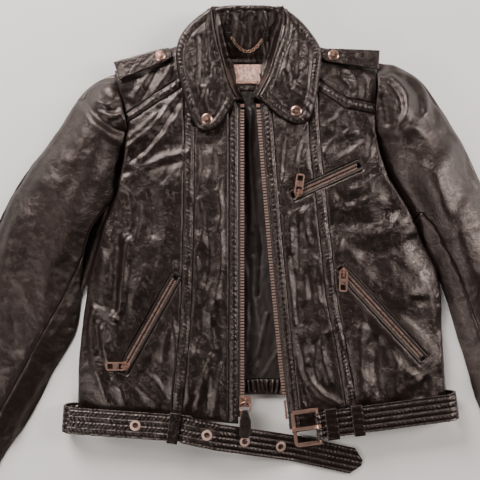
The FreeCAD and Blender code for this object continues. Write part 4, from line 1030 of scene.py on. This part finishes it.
def make_back():
    for node in ("back_panel", "back_yoke"):
        cover(node, f"leather_{node}_{{}}", step=6.0, rests=["floor"])

    def waist(sheet):
        x, y = sheet.x, sheet.y
        share = smooth_step(sheet.edge, 0.8, 5.0)
        wave = np.sin(2 * math.pi * (x + 2.2 * noise(x, y, 16.0, 71)) / 6.4)
        return 1.9 * share * wave + 0.5 * share * noise(x, y, 8.0, 73)

    cover("back_waistband", "leather_back_waistband_{}", thick=1.8, step=1.5, extra=waist, even=0,
          rests=["floor"], rows=(2.4,))

    def satin(sheet):
        x, y = sheet.x, sheet.y
        total = folds(x, y, LINING_FOLDS) + 0.9 * noise(x, 0.4 * y, 12.0, 81)
        return smooth_step(sheet.edge, 0.0, 8.0) * (total + 0.9 * creases(x, 0.35 * y, 9.0, 83))

    cover("back_lining", "satin_back_lining_{}", finish="lining", thick=0.5, extra=satin, even=0,
          round_depth=0, rests=["back_panel"])
    for node, finish, step in (("front_linings", "lining", 5.0), ("front_facings", "leather", 4.0),
                               ("back_neck_facing", "leather", 1.8),
                               ("pocket_bags", "lining", 5.0)):
        def under(x, y, front=node != "back_neck_facing"):
            """Stays below the front leather."""
            low = np.minimum(front_relief(x, y), 0.0) - 0.8 if front else 0.0
            return low + 0.3 * noise(x, y, 12.0, 91)

        cover(node, f"{finish}_{node}_{{}}", under, finish, 0.6, step=step, round_depth=0.3,
              rests=["back_panel"])


# ---------------------------------------------------------------- sleeves

# plan of the underarm leather between the left sleeve and the side panel, and its pleat
GUSSET = [(-166, 96), (-171, 70), (-176, 46), (-184, 20), (-189, 4), (-194, -14), (-198, -34),
          (-203, -54), (-209, -36), (-222, -54), (-216, -24), (-209, 0), (-201, 30), (-191, 60),
          (-178, 92)]
GUSSET_PLEAT = [(-172, 92), (-192, 34), (-202, -6), (-214, -46)]
GUSSET_HEIGHT = 5.2
BED_FACE = 0.2  # faces lower than this lie on the bed, mm


def crown(sheet):
    """The folded edge of the flattened tube is rounder than the CAD face."""
    bulge = 3.0 * np.exp(-((sheet.z - 9.0) / 7.0) ** 2)
    return bulge * smooth_step(sheet.edge, 0.0, 4.0)


def make_sleeve(side):
    same = {"finish": "sleeve_leather", "thick": 1.5, "skirt": SLEEVE_SKIRT,
            "rests": ["sleeve_linings"], "rows": (2.4,), "stitches": {"pitch": 3.2}}
    cover(f"top_sleeve_{side}", f"leather_top_sleeve_{side}", sleeve_relief, step=3.0,
          extra=crown, even=16, **same)
    node = f"under_sleeve_{side}"
    cover(node, f"leather_sleeve_seam_strip_{side}_{{}}", sleeve_relief,
          wanted=lambda middle: middle[2] > 2.25, **same)
    sheet = Plan([under_outline(node)], 5.0)
    sheet.z = 0.9 + 1.1 * np.clip(1 - sheet.edge / 9.0, 0, 1) ** 2
    laid_piece(f"leather_under_sleeve_{side}", node, sheet, 0.8)


def laid_piece(name, node, sheet, thick):
    """Sleeve leather that lies on the floor."""
    item = add_object(name, sheet.points(), sheet.faces, "sleeve_leather")
    solid_sheet(item, thick)
    declare(sheet)
    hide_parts(node)


def make_gusset():
    """The sleeve's underarm leather, seen between sleeve and body on the left."""
    def lie(x, y):
        pleat = 1.8 * np.exp(-(to_line(x, y, GUSSET_PLEAT) / 3.4) ** 2)
        return (GUSSET_HEIGHT + pleat + 0.5 * noise(x, y, 12.0, 61)
                + 0.4 * creases(x, y, 9.0, 63))

    sheet = Plan([np.array([(x, y, 0.0) for x, y in GUSSET[::-1]])], 2.0, lie)
    laid_piece("leather_underarm_gusset_L", "under_sleeve_L", sheet, 1.4)


def under_outline(node):
    """The outline of the sleeve's lower face, on the bed."""
    points, faces = cad(node)
    flipped = []
    for face in faces:
        normal = face_normal(points, face)
        if normal[2] < -0.9 * np.linalg.norm(normal) and points[face][:, 2].max() < BED_FACE:
            flipped.append(face[::-1])
    edges = {(a, b) for face in flipped for a, b in zip(face, face[1:] + face[:1])}
    onward = {a: b for a, b in edges if (b, a) not in edges}
    loop, spot = [], min(onward)
    while spot in onward:
        loop.append(spot)
        spot = onward.pop(spot)
    return points[loop]


def make_sleeve_linings():
    def under(x, y):
        return np.minimum(sleeve_relief(x, y), 0.0) - 1.4

    cover("sleeve_linings", "satin_sleeve_lining_{}", under, "lining", 0.5, step=5.0,
          round_depth=0, rests=["under_sleeve_L"])


# ---------------------------------------------------------------- collar

COLLAR_FOLDS = [
    ([(-62, 286), (-58, 262), (-60, 236)], 4.0, 2.6),
    ([(-46, 300), (-44, 268), (-46, 242)], 4.2, 3.0),
    ([(-52, 284), (-51, 256), (-53, 226)], 3.2, -2.4),
    ([(-34, 262), (-38, 238), (-50, 208)], 3.0, 2.4),
    ([(-36, 298), (-34, 276), (-36, 256)], 3.2, -1.8),
    ([(-42, 230), (-44, 208), (-40, 192)], 3.0, -2.2),
    ([(-62, 230), (-58, 206), (-54, 190)], 3.4, 2.0),
    ([(-26, 238), (-24, 216), (-30, 196)], 3.2, 2.0),
    ([(58, 300), (60, 270), (56, 244)], 4.6, 3.0),
    ([(72, 290), (74, 260), (72, 232)], 4.0, -2.4),
    ([(84, 282), (86, 250), (84, 222)], 3.8, 2.2),
    ([(44, 250), (52, 232), (58, 210)], 3.4, 2.4),
    ([(38, 234), (46, 218), (54, 200)], 2.8, -2.0),
    ([(60, 226), (70, 214), (82, 208)], 3.2, 2.0),
    ([(32, 226), (40, 208), (50, 196)], 3.0, 1.8),
    ([(62, 250), (66, 236), (64, 222)], 3.0, -1.8),
]

# the two roll lines in plan, from the back of the neck to the front
ROLL_LINES = {"L": [(-38, 325), (-5, 207)], "R": [(51, 325), (19, 210)]}
COLLAR_SNAPS = ((-46, 181), (70, 191))


def collar_relief(x, y):
    total = 0.65 * folds(x, y, COLLAR_FOLDS) + 1.5 * noise(x, 0.85 * y, 30.0, 101)
    total += 0.4 * (creases(x, 0.9 * y, 20.0, 103) - 0.3) + 0.2 * noise(x, y, 9.0, 107)
    for sx, sy in COLLAR_SNAPS:
        total *= smooth_step(np.hypot(x - sx, y - sy), 7.0, 16.0)
    return np.clip(total, -2.2, 4.2)


def make_collar():
    for side, roll in ROLL_LINES.items():
        node = f"collar_leaf_{side}"

        def shape(sheet, roll=roll):
            """A ribbed border between two rows of stitches, and a fuller roll."""
            x, y = sheet.x, sheet.y
            off_roll = to_line(x, y, roll)
            free = smooth_step(sheet.edge, 10.5, 14.5)
            border = smooth_step(sheet.edge, 1.5, 3.5) * (1 - smooth_step(sheet.edge, 9.0, 10.8))
            border = border * smooth_step(off_roll, 10.0, 16.0)
            turn = np.arctan2(y - 250, x + (44 if x.mean() < 0 else -62))
            ribs = np.abs(np.sin(turn * 26 + 1.5 * noise(x, y, 11.0, 111))) ** 0.7
            near_roll = 1 - smooth_step(off_roll, 4.0, 20.0)
            groove = -0.8 * np.exp(-((sheet.edge - 11.4) / 1.0) ** 2) * (1 - near_roll)
            pad = 1.1 * smooth_step(sheet.edge, 0.0, 5.0)
            return (collar_relief(x, y) * np.maximum(free, 0.25) + 1.4 * border * ribs + groove
                    + pad + 2.2 * near_roll * smooth_step(sheet.edge, 0.0, 3.0))

        def off_the_roll(x, y, roll=roll):
            return to_line(np.array([x]), np.array([y]), roll)[0] > 13

        cover(node, "leather_" + node, thick=2.2, step=1.7, body=node, extra=shape, even=4,
              held="folded", rests=["collar_stand"], round_depth=1.6, rows=(2.4, 11.4),
              stitches={"keep": off_the_roll, "pitch": 2.9})


def roll_edge(side):
    """The inner edge of a collar leaf, from the neck point up to the back, in plan."""
    loop = resample(outer_loops(f"collar_leaf_{side}")[0][0], 3.0)
    near = loop[to_line(loop[:, 0], loop[:, 1], ROLL_LINES[side]) < 9.0]
    near = near[(near[:, 1] > 206) & (near[:, 1] < 326)]
    return near[np.argsort(near[:, 1])]


def make_stand():
    """The stand: wrinkled leather up the back of the neck, and round under both roll lines."""
    left, right = roll_edge("L"), roll_edge("R")
    outer = np.vstack([right, [[51, 324.6, 0]], [[-38, 324.6, 0]], left[::-1]])
    foot = np.array([(2.5, 209.0, 0), (-8.0, 240.0, 0), (-13.5, 259.0, 0), (26.5, 259.0, 0),
                     (21.5, 240.0, 0), (11.5, 211.0, 0)])
    foot_y = 266.0  # the stand rises behind this line and lies flat before it

    def lie(x, y):
        off = np.minimum(to_line(x, y, left), to_line(x, y, right))
        leaf = 26.5 + 0.06 * (y - 165.0) + 3.4
        rise = np.minimum(10.6 + np.clip(y - foot_y, 0.0, 60.0) * 28.4 / 53.0, 38.4)
        slab = np.where(y < foot_y, 8.6, rise)
        share = 1 - smooth_step(off, 0.5, 9.0)
        crease = 1.5 * noise(x, 0.3 * y, 9.0, 121) + 1.8 * (creases(x, 0.35 * y, 10.0, 123) - 0.3)
        return slab + (leaf - slab) * share + np.clip(crease, -1.0, 2.6) * (1 - share)

    sheet = Plan([np.vstack([outer, foot])], 1.8, lie)
    item = add_object("leather_collar_stand", sheet.points(), sheet.faces, "leather")
    solid_sheet(item, 1.8)
    declare(sheet)
    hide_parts("collar_stand")


def make_back_fall():
    """The leather over the stand's top edge and down the back of the neck."""
    lo, hi = box_mm("collar_back_fall")
    rows, across = 14, 70
    over = 0.45  # the share of the rows that goes over the top
    points = []
    for r in range(rows + 1):
        share = r / rows
        angle = math.pi * min(share / over, 1.0)
        for c in range(across + 1):
            x = lo[0] + (hi[0] - lo[0]) * c / across
            ripple = 0.5 * math.sin(c * 0.9 + 1.3 * math.sin(c * 0.31))
            ripple += 0.6 * math.sin(c * 0.37 + 0.8 * math.sin(c * 0.23))
            end = abs(2 * c / across - 1) ** 5
            if share < over:
                y = 319.5 + 3.0 - 3.0 * math.cos(angle)
                z = hi[2] - 0.5 + 2.4 * math.sin(angle) + ripple * 0.4
            else:
                down = (share - over) / (1 - over)
                y = 325.0 + 1.2 * math.sin(down * math.pi) + ripple * down
                z = hi[2] - 0.5 - down * (hi[2] - lo[2] - 2.0) * (1 - 0.5 * end)
            points.append((x, y - 3.5 * end, z - 1.2 * end))
    wide = across + 1
    faces = [[r * wide + c, (r + 1) * wide + c, (r + 1) * wide + c + 1, r * wide + c + 1]
             for r in range(rows) for c in range(across)]
    item = add_object("leather_collar_back_fall", points, faces, "leather")
    solid_sheet(item, 1.8, 0.0)
    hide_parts("collar_back_fall")


# ---------------------------------------------------------------- straps and tabs

ROW_GAP = 7.3  # between the five rows of stitches along the strap, mm
ROWS = (-14.6, -7.3, 0.0, 7.3, 14.6)
EYELET_CLEAR = 9.0
SPINE_STEP = 8.0


def remeshed(node, finish, body, voxel, shape):
    """A thick leather piece: the CAD solid's skin made even, rounded and shaped."""
    points, faces = cad(node)
    item = add_object("leather_" + node, points, faces, finish, body)
    layer = item.modifiers.new("even", "REMESH")
    layer.mode, layer.voxel_size = "VOXEL", voxel * MM
    layer.use_smooth_shade = True
    soft = item.modifiers.new("soft", "SMOOTH")
    soft.factor, soft.iterations = 0.5, 3
    depsgraph = bpy.context.evaluated_depsgraph_get()
    mesh = bpy.data.meshes.new_from_object(item.evaluated_get(depsgraph))
    item.modifiers.clear()
    item.data = mesh
    mesh.materials.clear()
    mesh.materials.append(materials[finish])
    count = len(mesh.vertices)
    spots, normals = np.empty(count * 3), np.empty(count * 3)
    mesh.vertices.foreach_get("co", spots)
    mesh.vertices.foreach_get("normal", normals)
    spots = shape(spots.reshape(-1, 3) * 1000, normals.reshape(-1, 3))
    mesh.vertices.foreach_set("co", (spots * MM).reshape(-1))
    mesh.update()
    for polygon in mesh.polygons:
        polygon.use_smooth = True
    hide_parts(node)
    return item


def rippled(*waves, ridge=0.0):
    """A skin moved in and out by noise, (height, size, seed) each, and by fine ridges."""
    def shape(spots, normals):
        x, y = spots[:, 0], spots[:, 1]
        ripple = sum(height * noise(x, y, size, seed) for height, size, seed in waves)
        return spots + normals * (ripple + ridge * np.sin(y / 1.3))[:, None]
    return shape


def strap_line(origin, turns):
    """A strap's middle line through the origin, from turns: (x where it starts, degrees)."""
    xs = np.arange(-245.0, 300.0, SPINE_STEP)
    slopes = np.zeros(len(xs))
    for start, degrees in turns:
        slopes = np.where(xs >= start, math.tan(math.radians(degrees)), slopes)
    ys = np.concatenate([[0], np.cumsum((slopes[1:] + slopes[:-1]) / 2 * SPINE_STEP)])
    return xs, ys - np.interp(origin[0], xs, ys) + origin[1]


# the strap turns about its loop on the left and about its buckle on the right
STRAP_SPINES = {
    "belt_left": strap_line((-89.0, -220.0), ((-300, -4.0), (-84, -12.2))),
    "belt_right": strap_line((99.0, -217.0), ((-300, 7.7),)),
}


def on_spine(spine, x):
    """The middle line's y at each x, and how much longer its slant makes a cut along y."""
    stations, middle = spine
    lean = np.interp(x, stations, np.gradient(middle, stations))
    return np.interp(x, stations, middle), np.sqrt(1 + lean * lean)


def strap_shape(spine, seed):
    """Stitched channels with herringbone puckers between them."""
    def shape(spots, normals):
        x, y = spots[:, 0], spots[:, 1]
        middle, slant = on_spine(spine, x)
        across = (y - middle) / slant
        total = np.zeros(len(x))
        for row in ROWS:
            total -= 0.9 * np.exp(-((across - row) / 0.8) ** 2)
        lane = np.floor((across - ROWS[0]) / ROW_GAP)
        way = np.where(lane.astype(int) % 2 == 0, 1.0, -1.0)
        herring = np.abs(np.sin(math.pi * (x + way * 0.9 * across + noise(x, y, 9.0, seed)) / 5.2))
        off_row = np.min([np.abs(across - row) for row in ROWS], axis=0)
        total += 1.05 * herring ** 0.8 * smooth_step(off_row, 0.5, 2.0) - 0.6
        wave = 0.7 * noise(x, 0.4 * y, 24.0, seed + 1) + 0.35 * noise(x, y, 9.0, seed + 2)
        out = spots + normals * (total * np.abs(normals[:, 2]))[:, None]
        # flat where the keeper slides, next to the buckle
        free = np.maximum(smooth_step(x, 160.0, 185.0), smooth_step(-x, -60.0, -40.0))
        out[:, 2] += wave * free * smooth_step(out[:, 2], 5.0, 14.0)
        return out
    return shape


def strap_rows(node, item, spine, x_low, x_high, eyes):
    """Rows of stitches along the strap, broken at the eyelets."""
    def clear(x, y):
        return all(math.hypot(x - ex, y - ey) > EYELET_CLEAR for ex, ey, _ in eyes)

    tree = surface_of(item)
    xs = np.arange(x_low, x_high, 4.0)
    middle, slant = on_spine(spine, xs)
    for row in ROWS:
        line = np.stack([xs, middle + row * slant], axis=1)
        stitch_row("stitching_" + node, tree, line, length=2.2, width=0.7, rise=0.3, keep=clear)


def eyelet_places():
    """Middle and top of each eyelet."""
    points, _ = cad("belt_eyelets")
    xs = np.sort(points[:, 0])
    cuts = np.where(np.diff(xs) > 4.0)[0]
    edges = [xs[0]] + [v for k in cuts for v in (xs[k], xs[k + 1])] + [xs[-1]]
    places = []
    for low, high in zip(edges[::2], edges[1::2]):
        group = points[(points[:, 0] >= low) & (points[:, 0] <= high)]
        middle = (group.min(axis=0) + group.max(axis=0)) / 2
        places.append((middle[0], middle[1], group[:, 2].max()))
    return places


def make_eyelet_shade_discs(eyes, radius=3.9, below=2.6, corners=24):
    """Leather discs a little below each eyelet's top: painted shade, dark sheets standing in for
    the shadow down the holes.
    """
    for k, (x, y, top) in enumerate(eyes):
        turns = np.linspace(0, 2 * math.pi, corners, endpoint=False)
        points = [(x + radius * math.cos(a), y + radius * math.sin(a), top - below)
                  for a in turns]
        item = add_object(f"leather_eyelet_backing_{k}", points, [list(range(corners))],
                          "belt_leather")
        solid_sheet(item, 0.6)


def make_belt():
    eyes = eyelet_places()
    # painted shade: dark discs inside the eyelet holes
    make_eyelet_shade_discs(eyes)
    for node, seed in (("belt_left", 131), ("belt_right", 137)):
        spine = STRAP_SPINES[node]
        item = remeshed(node, "belt_leather", "jacket", 1.15, strap_shape(spine, seed))
        lo, hi = box_mm(node)
        strap_rows(node, item, spine, lo[0] + 8, hi[0] - 6, eyes)
    cover("belt_back", "leather_belt_back_{}", finish="belt_leather", thick=2.6, step=4.0,
          rests=["floor"])
    for node, body, seed in (("belt_loops", "jacket", 141), ("belt_keeper", "keeper", 143)):
        remeshed(node, "belt_leather", body, 0.8, rippled((0.25, 7.0, seed), ridge=0.2))


def make_tabs():
    """Epaulettes, the main zip's leather pull and the hanger's two tabs."""
    for side, seed in (("L", 151), ("R", 157)):
        node = f"epaulette_{side}"
        shape = rippled((0.35, 14.0, seed), (0.2, 5.0, seed + 1))
        item = remeshed(node, "leather", node, 0.9, shape)
        rim_rows(node, item, [resample(outlines(node)[0], 2.0)], (2.0, 4.4), body=node, pitch=2.8)
    node = "main_pull_tab"
    item = remeshed(node, "leather", "main_pull", 0.7, rippled((0.2, 6.0, 161)))
    rim_rows(node, item, [resample(outlines(node)[0], 1.5)], (1.6,), body="main_pull", pitch=2.4,
             length=1.6)
    remeshed("hanger_tabs", "leather", "jacket", 0.6, rippled((0.15, 5.0, 171)))


# ---------------------------------------------------------------- zips, pockets, metal, label

POCKETS = ("chest", "left", "right")
# finish, rounding in mm, its segments, and the CAD nodes that are kept as they are
METAL_PARTS = (
    ("zip_copper", 0.45, 2, ["main_zip_teeth"]),
    ("zip_copper", 0.3, 2, ["pocket_zip_teeth"]),
    ("antique_copper", 0.5, 3, ["main_zip_stops_box_and_pin", "main_slider"]),
    ("antique_copper", 0.5, 3, [f"{name}_pocket_slider" for name in POCKETS]),
    ("antique_copper", 0.5, 3, [f"{name}_pocket_pull" for name in POCKETS]),
    ("antique_copper", 1.0, 3, ["buckle_frame"]),
    ("antique_copper", 0, 0, ["main_pull_ring", "buckle_prong", "snap_studs"]),
    ("antique_copper", 0, 0, [f"{part}_snap_{side}" for part in ("collar", "epaulette")
                              for side in "LR"]),
    ("eyelet_copper", 0, 0, ["belt_eyelets"]),
    ("chain_bronze", 0, 0, ["hanger_chain"]),
)


def make_zips():
    def tape(x, y):
        return 0.12 * noise(x, y, 9.0, 181)

    same = {"round_depth": 0, "even": 0, "held": "stretched"}
    cover("main_zip_tapes", "tape_main_zip_{}", tape, "zip_tape", 0.5, step=2.2,
          rests=["front_facings"], **same)
    strips = outer_loops("pocket_zip_tapes")
    for name in POCKETS:
        lo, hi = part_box(f"{name}_pocket_slider")
        spot = np.array([(lo.x + hi.x) * 500, (lo.y + hi.y) * 500])
        strips.sort(key=lambda group: np.linalg.norm(group[0][:, :2] - spot, axis=1).min())
        pair = [loop for group in strips[:2] for loop in group]
        strips = strips[2:]
        sheet_piece(f"tape_{name}_pocket_zip", "pocket_zip_tapes", pair, tape, "zip_tape", 0.5,
                    step=2.0, rests=["front_linings"], **same)

    def lip(sheet):
        return 0.9 * smooth_step(sheet.edge, 0.0, 1.8) + 0.25 * noise(sheet.x, sheet.y, 8.0, 187)

    cover("pocket_welts", "leather_pocket_welt_{}", thick=1.1, step=1.2, extra=lip, even=0,
          rests=["front_linings"], rows=(1.3,),
          stitches={"pitch": 2.6, "length": 1.8, "width": 0.5})


def make_metal():
    for finish, width, segments, nodes in METAL_PARTS:
        for node in nodes:
            bevel(node, finish, width, segments)


def make_label():
    def shape(sheet):
        return 0.35 * noise(sheet.x, sheet.y, 9.0, 191) + 0.3 * smooth_step(sheet.edge, 0, 2)

    cover("neck_label", "cloth_neck_label", finish="label", thick=0.6, step=1.2, extra=shape,
          even=0, round_depth=0.2, rests=["back_neck_facing"], rows=(1.2, 3.6),
          stitches={"pitch": 1.7, "length": 1.3, "width": 0.6, "finish": "label_thread"})


FLOOR_REACH = 14  # metres each way from the middle


def make_floor():
    art = Shader("pale_floor", Roughness=0.85)
    cloud = art.noise(3.0, 3.0)
    art.set("Base Color", art.mix(cloud, (0.74, 0.725, 0.71), (0.80, 0.785, 0.77)))
    art.bumps([(art.noise(400.0, 2.0), 0.05, 0.2)])
    mesh = bpy.data.meshes.new("floor")
    corners = [(x * FLOOR_REACH, y * FLOOR_REACH, 0)
               for x, y in ((-1, -1), (1, -1), (1, 1), (-1, 1))]
    mesh.from_pydata(corners, [], [(0, 1, 2, 3)])
    mesh.materials.append(art.material)
    item = bpy.data.objects.new("floor", mesh)
    bpy.context.scene.collection.objects.link(item)


set_camera()
set_light()
make_floor()
make_torso()
make_bands()
make_back()
for side in "LR":
    make_sleeve(side)
make_gusset()
make_sleeve_linings()
make_collar()
make_stand()
make_back_fall()
make_belt()
make_tabs()
make_zips()
make_metal()
make_label()
make_stitches()
